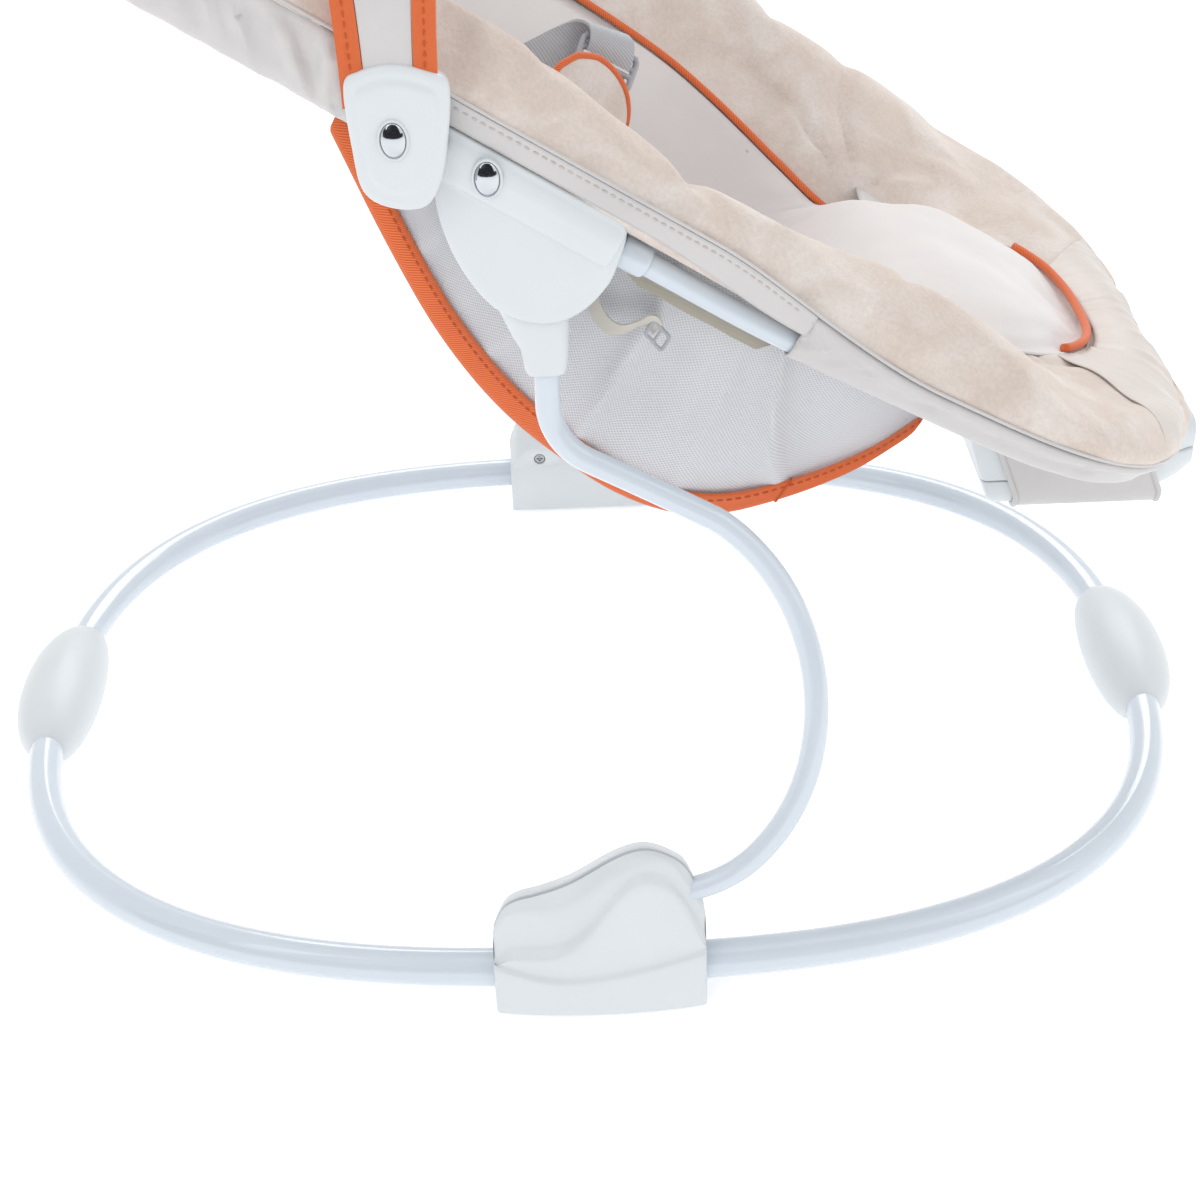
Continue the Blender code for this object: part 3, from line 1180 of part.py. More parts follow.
def vibration_unit(parent):
    """Unit under the foot end: two shells, battery door, switch, motor with its weight, cell and pocket."""
    big = 400 * MM
    floor = UNIT_BOTTOM + UNIT_FLOOR
    hollow = unit_body("unit_hollow", UNIT_WALL)
    above = block("unit_above", (0, -big, UNIT_SEAM - GAP / 2), (big, big, big))
    below = block("unit_below", (0, -big, 0), (big, big, UNIT_SEAM + GAP / 2))
    hollow_base = block("unit_floor", (0, -big, 0), (big, big, floor))
    housing_body = unit_body("unit_housing", 0)
    combine(housing_body, hollow)
    combine(housing_body, below)
    base = unit_body("unit_base", 0)
    well = unit_body("unit_well", UNIT_WALL)
    combine(well, hollow_base)
    combine(base, well)
    combine(base, above)

    # Battery door, hinged on two pins along its back edge
    pin_z = UNIT_BOTTOM + DOOR_THICKNESS / 2
    opening = block("door_opening", (DOOR_X - DOOR_THICKNESS / 2 - GAP, -DOOR_HALF_WIDTH - GAP, 0),
                    (DOOR_X + DOOR_LENGTH + GAP, DOOR_HALF_WIDTH + GAP, floor + 1 * MM))
    pin_holes = drum("door_pin_holes", (DOOR_X, pin_z), DOOR_PIN_RADIUS + GAP,
                     -DOOR_HALF_WIDTH - 3 * MM - GAP, DOOR_HALF_WIDTH + 3 * MM + GAP, 12)
    screw_x = DOOR_X + DOOR_LENGTH - 5.5 * MM
    outline = []
    for index in range(9):
        angle = math.radians(90 + 180 * index / 8)
        outline.append((DOOR_X + DOOR_THICKNESS / 2 * math.cos(angle),
                        pin_z + DOOR_THICKNESS / 2 * math.sin(angle)))
    outline += [(DOOR_X + DOOR_LENGTH, UNIT_BOTTOM), (DOOR_X + DOOR_LENGTH, UNIT_BOTTOM + DOOR_THICKNESS)]
    door = prism("battery_door", outline, -DOOR_HALF_WIDTH, DOOR_HALF_WIDTH)
    pins = drum("door_pins", (DOOR_X, pin_z), DOOR_PIN_RADIUS, -DOOR_HALF_WIDTH - 3 * MM,
                DOOR_HALF_WIDTH + 3 * MM, 12)
    combine(door, pins, "UNION")
    combine(base, opening)
    combine(base, pin_holes)

    # Captive screw of the door
    head_top = UNIT_BOTTOM + 1.4 * MM
    combine(door, disc("door_sink", screw_x, DOOR_SCREW_RADIUS + GAP, UNIT_BOTTOM - 1 * MM, head_top + GAP))
    combine(door, disc("door_screw_hole", screw_x, 1.3 * MM + GAP, UNIT_BOTTOM, floor))
    screw = disc("door_screw", screw_x, DOOR_SCREW_RADIUS, UNIT_BOTTOM + 0.2 * MM, head_top)
    combine(screw, disc("door_shank", screw_x, 1.3 * MM, UNIT_BOTTOM + 0.6 * MM, floor + 2.6 * MM), "UNION")
    tower = block("screw_tower", (screw_x - 5 * MM, -5 * MM, floor + 0.4 * MM),
                  (DOOR_X + DOOR_LENGTH + 4 * MM, 5 * MM, floor + 5 * MM))
    footing = block("screw_footing", (DOOR_X + DOOR_LENGTH + GAP, -5 * MM, floor - 1 * MM),
                    (DOOR_X + DOOR_LENGTH + 4 * MM, 5 * MM, floor + 4 * MM))
    combine(base, tower, "UNION")
    combine(base, footing, "UNION")
    combine(base, disc("tower_bore", screw_x, 2.2 * MM, floor - 1 * MM, floor + 3.6 * MM))

    # Cell between two end walls, and the motor on its cradle
    cell_z = UNIT_BOTTOM + DOOR_THICKNESS + GAP + CELL_RADIUS
    for label, side in SIDES:
        middle = side * (DOOR_HALF_WIDTH + 1.4 * MM)
        wall = block(label + "_cell_wall", (CELL_X - 8 * MM, middle - 1 * MM, floor - 1 * MM),
                     (CELL_X + 8 * MM, middle + 1 * MM, cell_z + 2 * MM))
        combine(base, wall, "UNION")
    cell = drum("battery", (CELL_X, cell_z), CELL_RADIUS, -CELL_HALF_LENGTH, CELL_HALF_LENGTH, 20)
    combine(cell, drum("battery_tip", (CELL_X, cell_z), 2.6 * MM, CELL_HALF_LENGTH - 1 * MM,
                       CELL_HALF_LENGTH + 1.2 * MM, 12), "UNION")
    motor_z = floor + MOTOR_RADIUS + 3 * MM
    motor = drum("vibration_motor", (MOTOR_X, motor_z), MOTOR_RADIUS, MOTOR_START, MOTOR_END, 20)
    combine(motor, drum("shaft_bore", (MOTOR_X, motor_z), SHAFT_RADIUS + GAP, MOTOR_END - 6 * MM,
                        MOTOR_END + 1 * MM, 12))
    cradle = block("motor_cradle", (MOTOR_X - 11 * MM, MOTOR_START + 3 * MM, floor - 1 * MM),
                   (MOTOR_X + 11 * MM, MOTOR_END - 3 * MM, motor_z - 1 * MM))
    seat = drum("motor_seat", (MOTOR_X, motor_z), MOTOR_RADIUS + GAP, MOTOR_START, MOTOR_END, 20)
    combine(cradle, seat)
    combine(base, cradle, "UNION")
    half_moon = []
    for index in range(13):
        angle = math.radians(180 + 180 * index / 12)
        half_moon.append((MOTOR_X + WEIGHT_RADIUS * math.cos(angle),
                          motor_z + WEIGHT_RADIUS * math.sin(angle)))
    half_moon += [(MOTOR_X + 2.6 * MM, motor_z + 2.6 * MM), (MOTOR_X - 2.6 * MM, motor_z + 2.6 * MM)]
    weight = prism("eccentric_weight", half_moon, MOTOR_END + 1 * MM, MOTOR_END + 9 * MM)
    combine(weight, drum("weight_shaft", (MOTOR_X, motor_z), SHAFT_RADIUS, MOTOR_END - 6 * MM + GAP,
                         MOTOR_END + 10 * MM, 12), "UNION")

    # Slide switch in the nose
    knob_front = UNIT_NOSE + 2.2 * MM
    slot = block("switch_slot", (UNIT_NOSE - 12 * MM, -SWITCH_HALF_WIDTH - SWITCH_TRAVEL - GAP,
                                 SWITCH_Z - SWITCH_HALF_HEIGHT - GAP),
                 (UNIT_NOSE + 4 * MM, SWITCH_HALF_WIDTH + SWITCH_TRAVEL + GAP,
                  SWITCH_Z + SWITCH_HALF_HEIGHT + GAP))
    combine(housing_body, slot)
    knob = block("power_switch", (UNIT_NOSE - 11 * MM, -SWITCH_HALF_WIDTH, SWITCH_Z - SWITCH_HALF_HEIGHT),
                 (knob_front, SWITCH_HALF_WIDTH, SWITCH_Z + SWITCH_HALF_HEIGHT))
    flange = block("switch_flange", (UNIT_NOSE - 12 * MM, -SWITCH_HALF_WIDTH - 5 * MM, SWITCH_Z - 3.4 * MM),
                   (UNIT_NOSE - 10 * MM, SWITCH_HALF_WIDTH + 5 * MM, SWITCH_Z + 3.4 * MM))
    combine(knob, flange, "UNION")

    switch_axis = axis_empty("switch_axis", (UNIT_NOSE, 0, SWITCH_Z), parent)
    door_axis = axis_empty("door_axis", (DOOR_X, 0, pin_z), parent)
    weight_axis = axis_empty("weight_axis", (MOTOR_X, MOTOR_END + 5 * MM, motor_z), parent)
    finish(housing_body, PLASTIC, parent)
    finish(base, PLASTIC, parent)
    finish(door, PLASTIC, door_axis)
    finish(screw, SCREW, door_axis)
    finish(cell, GREY, parent)
    finish(motor, SCREW, parent)
    finish(weight, SCREW, weight_axis)
    finish(knob, GREY, switch_axis)
    unit_pocket(parent)


def disc(name, x, radius, low, high):
    """Short cylinder along Z on the seat's middle."""
    outline = []
    for index in range(16):
        angle = 2 * math.pi * index / 16
        outline.append((x + radius * math.cos(angle), radius * math.sin(angle)))
    return plate(name, outline, low, high)


def unit_pocket(parent):
    """Satin band that carries the unit: wide where it hangs from the frame, narrow underneath."""
    out = UNIT_HALF_WIDTH + POCKET_CLEARANCE + CLOTH / 2
    under = UNIT_BOTTOM - POCKET_CLEARANCE - CLOTH / 2
    corner = 8 * MM
    path = [(-out, 1.0), (-out, 0.6), (-out, 0.25), (-out, 0.0)]
    rows = []
    for y, share in path:
        rows.append(pocket_row(y, share, under + corner))
    rows.append(pocket_row(-out + corner * 0.29, None, under + corner * 0.29))
    rows.append(pocket_row(-out + corner, None, under))
    rows.append(pocket_row(0, None, under))
    rows += [[Vector((point.x, -point.y, point.z)) for point in row] for row in reversed(rows[:-1])]
    finish(sheet("unit_pocket", rows, CLOTH, 0), SATIN, parent)


def pocket_row(y, share, low):
    """Row of the pocket's band, from its back edge to its front edge."""
    row = []
    for step in range(4):
        along = step / 3
        bottom = Vector((POCKET_UNDER_BACK + (POCKET_UNDER_FRONT - POCKET_UNDER_BACK) * along, y, low))
        if share is None:
            row.append(bottom)
        else:
            top = seat_point(POCKET_BACK + (POCKET_FRONT - POCKET_BACK) * along, y, -UNIT_TOP_DEPTH)
            row.append(bottom.lerp(top, share))
    return row


def main():
    for obj in list(bpy.data.objects):
        bpy.data.objects.remove(obj)
    base_ring()
    pods()
    for label, side in SIDES:
        housing(label, side)
    floor_pads()
    spring_legs()
    pivot = pivot_point()
    bounce = axis_empty("bounce_axis", BOUNCE_AXIS)
    seat = axis_empty("recline_axis", (pivot[0], 0, pivot[1]), bounce)
    bar_place = bar_pivot()
    bar = axis_empty("toy_bar_axis", (bar_place[0], 0, bar_place[1]), seat)
    leg_sockets(bounce)
    frame_tubes(seat)
    hubs(seat)
    brackets(bar, seat)
    toy_bar(bar)
    side_bolster(seat)
    seat_pad(seat)
    seat_sling(seat)
    satin(seat)
    crotch_pad(seat)
    vibration_unit(seat)


main()
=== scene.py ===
"""Looks of a baby bouncer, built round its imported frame."""

import math

import bpy
import numpy as np
from mathutils import Matrix, Vector, noise
from mathutils.kdtree import KDTree


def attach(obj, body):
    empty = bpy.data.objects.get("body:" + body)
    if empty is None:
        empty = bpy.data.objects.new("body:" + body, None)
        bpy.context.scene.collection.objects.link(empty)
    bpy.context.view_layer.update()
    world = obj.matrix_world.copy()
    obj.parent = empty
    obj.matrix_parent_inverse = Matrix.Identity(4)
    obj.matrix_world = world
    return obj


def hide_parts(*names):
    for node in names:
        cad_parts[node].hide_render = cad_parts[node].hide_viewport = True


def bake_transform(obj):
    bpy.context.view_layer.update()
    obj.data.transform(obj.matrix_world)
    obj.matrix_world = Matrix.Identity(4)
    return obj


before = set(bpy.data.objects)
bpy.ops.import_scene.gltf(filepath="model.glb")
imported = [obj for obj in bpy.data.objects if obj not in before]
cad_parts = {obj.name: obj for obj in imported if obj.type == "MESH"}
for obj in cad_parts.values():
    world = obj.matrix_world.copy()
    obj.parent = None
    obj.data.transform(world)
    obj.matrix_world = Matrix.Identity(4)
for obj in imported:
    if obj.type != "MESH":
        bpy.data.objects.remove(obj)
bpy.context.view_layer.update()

MM = 0.001
WELD = 0.005 * MM           # points nearer than this become one
SIDES = (("near", -1), ("far", 1))

# Sizes that are the same as the solids'

RING_HALF_LENGTH = 300 * MM
RING_HALF_WIDTH = 249 * MM
RING_POWER = 2.62
RING_TUBE = 9 * MM
RING_HEIGHT = 20 * MM
FLOOR_PAD = 2 * MM
ROD = 5.5 * MM
ROD_BENDS = ((23, 45, 58), (0, 45, 99), (0, 52, 97), (0, 10.8, 40), (59, -62.8, 30), (26, 0, 0))
HUB_X = -14.8 * MM
HUB_Z = 371.7 * MM
BACK_SLOPE = math.radians(32.4)
FOOT_SLOPE = math.radians(28.4)
HALF_WIDTH = 194 * MM
FOOT_TIP = 338 * MM
FOOT_CURVE = 207 * MM
HEAD_TIP = -346 * MM
HEAD_CURVE = -190 * MM
POWER = 2.6
BACK_TUBE = 6.2 * MM
SEAT_TUBE = 5.2 * MM
TUBE_JOINT = 53 * MM
BAR_S = -63 * MM
OVERHANG = 11 * MM          # the roll past the middle of the tube
INNER_SEAM = 125 * MM
INNER_FOOT = 309 * MM
INNER_HEAD = -290 * MM
INNER_FOOT_CURVE = 190 * MM
INNER_HEAD_CURVE = -170 * MM
BEND_START = 90 * MM        # the frame's tubes turn from the back's slope to the seat's
BEND_LENGTH = 40 * MM
BEND_END = 130 * MM

# Plan and height of the seat

def slope_at(s):
    share = min(max((s - BEND_START) / BEND_LENGTH, 0), 1)
    return BACK_SLOPE + (FOOT_SLOPE - BACK_SLOPE) * share


def seat_point(s, y, h):
    """World point at s along the frame, y across and h square above its plane."""
    straight = min(s, BEND_START)
    angle = slope_at(s)
    x = HUB_X + straight * math.cos(BACK_SLOPE)
    z = HUB_Z - straight * math.sin(BACK_SLOPE)
    if s > BEND_START:
        curve = (BACK_SLOPE - FOOT_SLOPE) / BEND_LENGTH
        x += (math.sin(BACK_SLOPE) - math.sin(angle)) / curve
        z += (math.cos(BACK_SLOPE) - math.cos(angle)) / curve
    rest = max(s - BEND_END, 0)
    x += rest * math.cos(angle)
    z -= rest * math.sin(angle)
    return Vector((x + h * math.sin(angle), y, z + h * math.cos(angle)))


def ease(value, low, high):
    share = min(max((value - low) / (high - low), 0), 1)
    return share * share * (3 - 2 * share)


def between(points, value):
    """Smooth curve through a few (place, height) points."""
    last = len(points) - 1
    value = min(max(value, points[0][0]), points[last][0])
    index = next(number for number in range(last) if value <= points[number + 1][0])
    slopes = []
    for here in (index, index + 1):
        (a, low), (b, high) = points[max(here - 1, 0)], points[min(here + 1, last)]
        slopes.append((high - low) / (b - a))
    (start, low), (end, high) = points[index], points[index + 1]
    span = end - start
    share = (value - start) / span
    rest = 1 - share
    return (low * (1 + 2 * share) * rest ** 2 + slopes[0] * span * share * rest ** 2
            + high * share ** 2 * (3 - 2 * share) - slopes[1] * span * share ** 2 * rest)


def table(points, value):
    """The same for a table in millimetres."""
    return between(points, value / MM) * MM


def signed_power(value, power):
    return math.copysign(abs(value) ** power, value)


def circle(sides):
    return np.linspace(0, 2 * math.pi, sides + 1)[:-1]


def end_curve(centre, tip, half_width, steps, power=POWER):
    curve = []
    for index in range(steps + 1):
        angle = math.pi * (index / steps - 0.5)
        along = max(math.cos(angle), 0) ** (2 / power)
        curve.append((centre + (tip - centre) * along, half_width * signed_power(math.sin(angle), 2 / power)))
    return curve


def rim(half_width, foot, head, side_steps, end_steps, foot_curve=FOOT_CURVE, head_curve=HEAD_CURVE):
    """Closed outline of the seat in plan, starting at the near side's head end."""
    sides = [head_curve + (foot_curve - head_curve) * index / side_steps for index in range(side_steps)]
    near = [(s, -half_width) for s in sides]
    far = [(s, half_width) for s in reversed(sides[1:])]
    head_end = list(reversed(end_curve(head_curve, head, half_width, end_steps)))
    return near + end_curve(foot_curve, foot, half_width, end_steps) + far + head_end[:-1]


def seam_height(s):
    return (25 - 15 * ease(s, 70 * MM, 190 * MM)) * MM


def underside(s):
    return (13.6 - 6 * ease(s, 70 * MM, 190 * MM)) * MM


def crown(s):
    """Height of the roll's top, which rises a little again at the foot."""
    return (42 - 22 * ease(s, 60 * MM, 300 * MM)) * MM + 6 * MM * ease(s, 262 * MM, 325 * MM)


def piping_height(s):
    return table(((-290, 15), (-60, 9), (60, 4), (110, -3), (158, -15), (190, -23), (206, -22), (216, -15), (230, -4),
                  (250, 3), (300, 11)), s)


def piping_taper(s):
    return 1 - (1 - 92 / 125) * ease(s, 80 * MM, 200 * MM)


def pad_floor(s):
    return table(((-290, 10), (-140, 5), (-84, 5), (-39, -30), (0, -58), (40, -79), (80, -91), (118, -95),
                  (143, -83), (158, -60), (174, -31), (190, -5), (210, 2), (240, 5), (300, 8)), s)


def inner_half_width(s):
    width = INNER_SEAM * piping_taper(s)
    if s > INNER_FOOT_CURVE:
        reach = (s - INNER_FOOT_CURVE) / (INNER_FOOT - INNER_FOOT_CURVE)
    elif s < INNER_HEAD_CURVE:
        reach = (s - INNER_HEAD_CURVE) / (INNER_HEAD - INNER_HEAD_CURVE)
    else:
        return width
    return width * (1 - min(reach, 1) ** POWER) ** (1 / POWER)


# Working on meshes

def clear():
    if bpy.context.object and bpy.context.object.mode != "OBJECT":
        bpy.ops.object.mode_set(mode="OBJECT")
    bpy.ops.object.select_all(action="DESELECT")


def pick(*objects):
    clear()
    for obj in objects:
        obj.select_set(True)
    bpy.context.view_layer.objects.active = objects[0]


def modify(obj, kind, **settings):
    """Adds a modifier and applies it."""
    pick(obj)
    modifier = obj.modifiers.new(kind.lower(), kind)
    for key, value in settings.items():
        setattr(modifier, key, value)
    bpy.ops.object.modifier_apply(modifier=modifier.name)
    return obj


def places(obj):
    co = np.empty(len(obj.data.vertices) * 3)
    obj.data.vertices.foreach_get("co", co)
    return co.reshape(-1, 3)


def move_to(obj, co):
    obj.data.vertices.foreach_set("co", np.asarray(co, float).ravel())
    obj.data.update()


def mend(obj, weld=True, close=False):
    """Welds a skin's meeting edges, closes its ends and turns its faces outwards."""
    pick(obj)
    bpy.ops.object.mode_set(mode="EDIT")
    bpy.ops.mesh.select_all(action="SELECT")
    if weld:
        bpy.ops.mesh.remove_doubles(threshold=WELD)
    if close:
        bpy.ops.mesh.fill_holes(sides=0)
    bpy.ops.mesh.select_all(action="SELECT")
    bpy.ops.mesh.normals_make_consistent(inside=False)
    bpy.ops.object.mode_set(mode="OBJECT")


def loft(name, rings, around=True, along=False, caps=True, size=(1, 1)):
    """Skin over rings of points: a grid laid on them, closed around, along or at its ends as asked.

    Its size, the length and the girth in metres, sets how large a weave shows on it.
    """
    rings = np.array([[tuple(point) for point in ring] for ring in rings])
    if around:
        rings = np.concatenate([rings, rings[:, :1]], axis=1)
    if along:
        rings = np.concatenate([rings, rings[:1]], axis=0)
    rows, columns = rings.shape[:2]
    clear()
    bpy.ops.mesh.primitive_grid_add(x_subdivisions=rows - 1, y_subdivisions=columns - 1, size=1)
    obj = bpy.context.object
    obj.name = obj.data.name = name
    flat = places(obj)
    row = np.rint((flat[:, 0] + 0.5) * (rows - 1)).astype(int)
    column = np.rint((flat[:, 1] + 0.5) * (columns - 1)).astype(int)
    move_to(obj, rings[row, column])
    uv = obj.data.uv_layers.active.data
    read = np.empty(len(uv) * 2)
    uv.foreach_get("uv", read)
    uv.foreach_set("uv", (read.reshape(-1, 2) * np.array(size)).ravel())
    if around or along:
        mend(obj, close=caps and not (around and along))
    return obj


def thicken(obj, thickness, offset=0):
    return modify(obj, "SOLIDIFY", thickness=thickness, offset=offset)


def refine(obj):
    return modify(obj, "SUBSURF", levels=1, render_levels=1)


def soften_edges(obj, width):
    return modify(obj, "BEVEL", width=width, segments=2, limit_method="ANGLE", angle_limit=math.radians(50))


def route_frames(route):
    """Two square directions at each point of a route, carried along it without twist."""
    route = [Vector(point) for point in route]
    frames = []
    first = None
    for index, point in enumerate(route):
        ahead = (route[min(index + 1, len(route) - 1)] - route[max(index - 1, 0)]).normalized()
        if first is None:
            first = ahead.orthogonal().normalized()
        first = (first - ahead * first.dot(ahead)).normalized()
        frames.append((point, first.copy(), ahead.cross(first)))
    return frames


def bar(name, route, radius, sides=20, along=False):
    """Round bar or cord along a route. Radius may change from point to point."""
    rings = []
    for index, (point, first, second) in enumerate(route_frames(route)):
        size = radius[index] if hasattr(radius, "__len__") else radius
        angles = [2 * math.pi * turn / sides for turn in range(sides)]
        rings.append([point + size * (first * math.cos(angle) + second * math.sin(angle)) for angle in angles])
    return loft(name, rings, along=along, size=(length_of(route), 2 * math.pi * np.mean(radius)))


def length_of(route):
    return sum((Vector(a) - Vector(b)).length for a, b in zip(route, route[1:]))


def even(points, count, closed=False):
    """Points spread evenly along a smooth curve through the given ones."""
    points = [Vector(point) for point in points]
    last = len(points)
    fine = []
    spans = last if closed else last - 1
    for index in range(spans):
        steps = (index - 1, index, index + 1, index + 2)
        a, b, c, d = (points[step % last if closed else min(max(step, 0), last - 1)] for step in steps)
        for step in range(12):
            t = step / 12
            fine.append(0.5 * (2 * b + (c - a) * t + (2 * a - 5 * b + 4 * c - d) * t * t
                               + (3 * b - a - 3 * c + d) * t ** 3))
    fine.append(points[0] if closed else points[-1])
    reach = [0.0]
    for before, after in zip(fine, fine[1:]):
        reach.append(reach[-1] + (after - before).length)
    wanted = np.linspace(0, reach[-1], count + 1 if closed else count)
    array = np.array([tuple(point) for point in fine])
    result = np.stack([np.interp(wanted, reach, array[:, axis]) for axis in range(array.shape[1])], axis=1)
    return [Vector(point) for point in (result[:-1] if closed else result)]


def inset(outline, amount):
    """Flat closed outline moved inwards by an amount."""
    moved = []
    count = len(outline)
    area = sum(outline[i - 1][0] * outline[i][1] - outline[i][0] * outline[i - 1][1] for i in range(count))
    turn = 1 if area > 0 else -1
    for index in range(count):
        before, after = outline[index - 2], outline[(index + 2) % count]
        along = Vector((after[0] - before[0], after[1] - before[1])).normalized()
        moved.append((outline[index][0] - along.y * amount * turn, outline[index][1] + along.x * amount * turn))
    return moved


def slab(name, outline, layers, place, centre):
    """Rounded plate: an outline repeated at (inset, height) layers, closed by fans to the centre."""
    rings = [[place(*point, height) for point in inset(outline, amount)] for amount, height in layers]
    ends = [[[place(centre[0] + (x - centre[0]) * share, centre[1] + (y - centre[1]) * share, height)
              for x, y in inset(outline, amount)] for share in (0.66, 0.33, 0.0)]
            for amount, height in (layers[0], layers[-1])]
    return loft(name, ends[0][::-1] + rings + ends[1], caps=False)


def rounded(corners, radius, steps=6):
    """Outline through the corners, each rounded by an arc."""
    outline = []
    count = len(corners)
    for index, corner in enumerate(corners):
        here = Vector(corner)
        before = (Vector(corners[index - 1]) - here).normalized()
        after = (Vector(corners[(index + 1) % count]) - here).normalized()
        half = before.angle(after) / 2
        reach = radius / math.tan(half)
        middle = here + (before + after).normalized() * radius / math.sin(half)
        first = (here + before * reach - middle).normalized()
        last = (here + after * reach - middle).normalized()
        for step in range(steps + 1):
            outline.append(tuple(middle + first.slerp(last, step / steps) * radius))
    return outline


def cast(name, parts, voxel, rounds, factor=0.5):
    """Joins closed shapes into one moulding with soft inner corners."""
    pick(*parts)
    if len(parts) > 1:
        bpy.ops.object.join()
    obj = bpy.context.object
    obj.name = obj.data.name = name
    modify(obj, "REMESH", mode="VOXEL", voxel_size=voxel)
    if rounds:
        modify(obj, "SMOOTH", factor=factor, iterations=rounds)
    return obj


def cut(obj, *cutters):
    for cutter in cutters:
        modify(obj, "BOOLEAN", operation="DIFFERENCE", solver="EXACT", object=cutter)
        bpy.data.objects.remove(cutter)
    return obj


def fixed(name):
    """Names the shape just added and sets its place and size in its mesh."""
    obj = bpy.context.object
    obj.name = obj.data.name = name
    bpy.ops.object.transform_apply(location=True, rotation=True, scale=True)
    return obj


def disc(name, centre, radius, start, end, sides=32):
    """Cylinder between two places along Y, round a centre in x and z."""
    clear()
    bpy.ops.mesh.primitive_cylinder_add(vertices=sides, radius=radius, depth=abs(end - start),
                                        location=(centre[0], (start + end) / 2, centre[1]),
                                        rotation=(math.pi / 2, 0, 0))
    return fixed(name)


def block(name, centre, size):
    clear()
    bpy.ops.mesh.primitive_cube_add(size=1, location=centre, scale=size)
    return fixed(name)


def box(name, low, high):
    """Block between two corners."""
    return block(name, [(a + b) / 2 for a, b in zip(low, high)], [b - a for a, b in zip(low, high)])


def done(obj, look, body=None, stands_for=(), angle=None):
    """Gives a finished piece its material, its smoothness, its body and the solids it stands for."""
    obj.data.materials.clear()
    obj.data.materials.append(look)
    pick(obj)
    if angle:
        bpy.ops.object.shade_smooth_by_angle(angle=math.radians(angle))
    else:
        bpy.ops.object.shade_smooth()
    if body:
        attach(obj, body)
    if stands_for:
        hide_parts(*([stands_for] if isinstance(stands_for, str) else stands_for))
    clear()
    return obj


def ripple(place, scale, seed):
    """Soft noise from -1 to 1 at a place, with waves about as long as scale."""
    return noise.noise(Vector(place) / scale + Vector((seed * 7.3, seed * 3.1, seed * 5.7)))


def inflate(obj, pinned, pressure, cap, spare=0.0):
    """Blows a closed cloth up a little between its seams, then keeps each point within the cap."""
    start = places(obj)
    group = obj.vertex_groups.new(name="seams")
    group.add([int(index) for index in np.nonzero(pinned(start))[0]], 1.0, "REPLACE")
    pick(obj)
    cloth = obj.modifiers.new("cloth", "CLOTH")
    for key, value in {"quality": 6, "mass": 0.3, "tension_stiffness": 20, "compression_stiffness": 12,
                       "shear_stiffness": 8, "bending_stiffness": 0.6, "air_damping": 3, "use_pressure": True,
                       "uniform_pressure_force": pressure, "shrink_min": -spare,
                       "vertex_group_mass": "seams"}.items():
        setattr(cloth.settings, key, value)
    cloth.settings.effector_weights.gravity = 0
    cloth.collision_settings.use_collision = False
    for number in range(1, 21):
        bpy.context.scene.frame_set(number)
    bpy.ops.object.modifier_apply(modifier="cloth")
    moved = places(obj) - start
    far = np.linalg.norm(moved, axis=1, keepdims=True)
    moved *= np.minimum(1, cap / np.maximum(far, 1e-9))
    move_to(obj, start + moved)
    obj.vertex_groups.clear()
    bpy.context.scene.frame_set(1)
    return obj


def stitches(name, route, look, body, length=3.0, gap=1.2, radius=0.45):
    """Row of thread stitches along a route: one stitch, sized in millimetres, repeated and bent onto it."""
    clear()
    bpy.ops.mesh.primitive_uv_sphere_add(segments=6, ring_count=4, radius=1)
    obj = bpy.context.object
    obj.name = obj.data.name = name
    co = places(obj)
    move_to(obj, co[:, [2, 1, 0]] * np.array((length / 2, radius, radius)) * MM)
    curve = bpy.data.curves.new(name + "_route", "CURVE")
    curve.dimensions = "3D"
    spline = curve.splines.new("POLY")
    spline.points.add(len(route) - 1)
    for target, point in zip(spline.points, route):
        target.co = (*point, 1)
    guide = bpy.data.objects.new(name + "_route", curve)
    bpy.context.scene.collection.objects.link(guide)
    modify(obj, "ARRAY", fit_type="FIT_LENGTH", fit_length=max(length_of(route) - length * MM, length * MM),
           use_relative_offset=False, use_constant_offset=True,
           constant_offset_displace=((length + gap) * MM, 0, 0))
    modify(obj, "CURVE", object=guide, deform_axis="POS_X")
    bpy.data.objects.remove(guide)
    mend(obj, weld=False)
    return done(obj, look, body)


# Materials

def paint(hexa):
    """Linear colour from an sRGB hex value."""
    channels = [int(hexa[i:i + 2], 16) / 255 for i in (1, 3, 5)]
    return (*[c / 12.92 if c <= 0.04045 else ((c + 0.055) / 1.055) ** 2.4 for c in channels], 1)


def add(tree, kind, inputs=None, **settings):
    """Adds a shader node with its settings, values and links."""
    node = tree.nodes.new("ShaderNode" + kind)
    for key, value in settings.items():
        setattr(node, key, value)
    for key, value in (inputs or {}).items():
        if isinstance(value, bpy.types.NodeSocket):
            tree.links.new(value, node.inputs[key])
        else:
            node.inputs[key].default_value = value
    return node


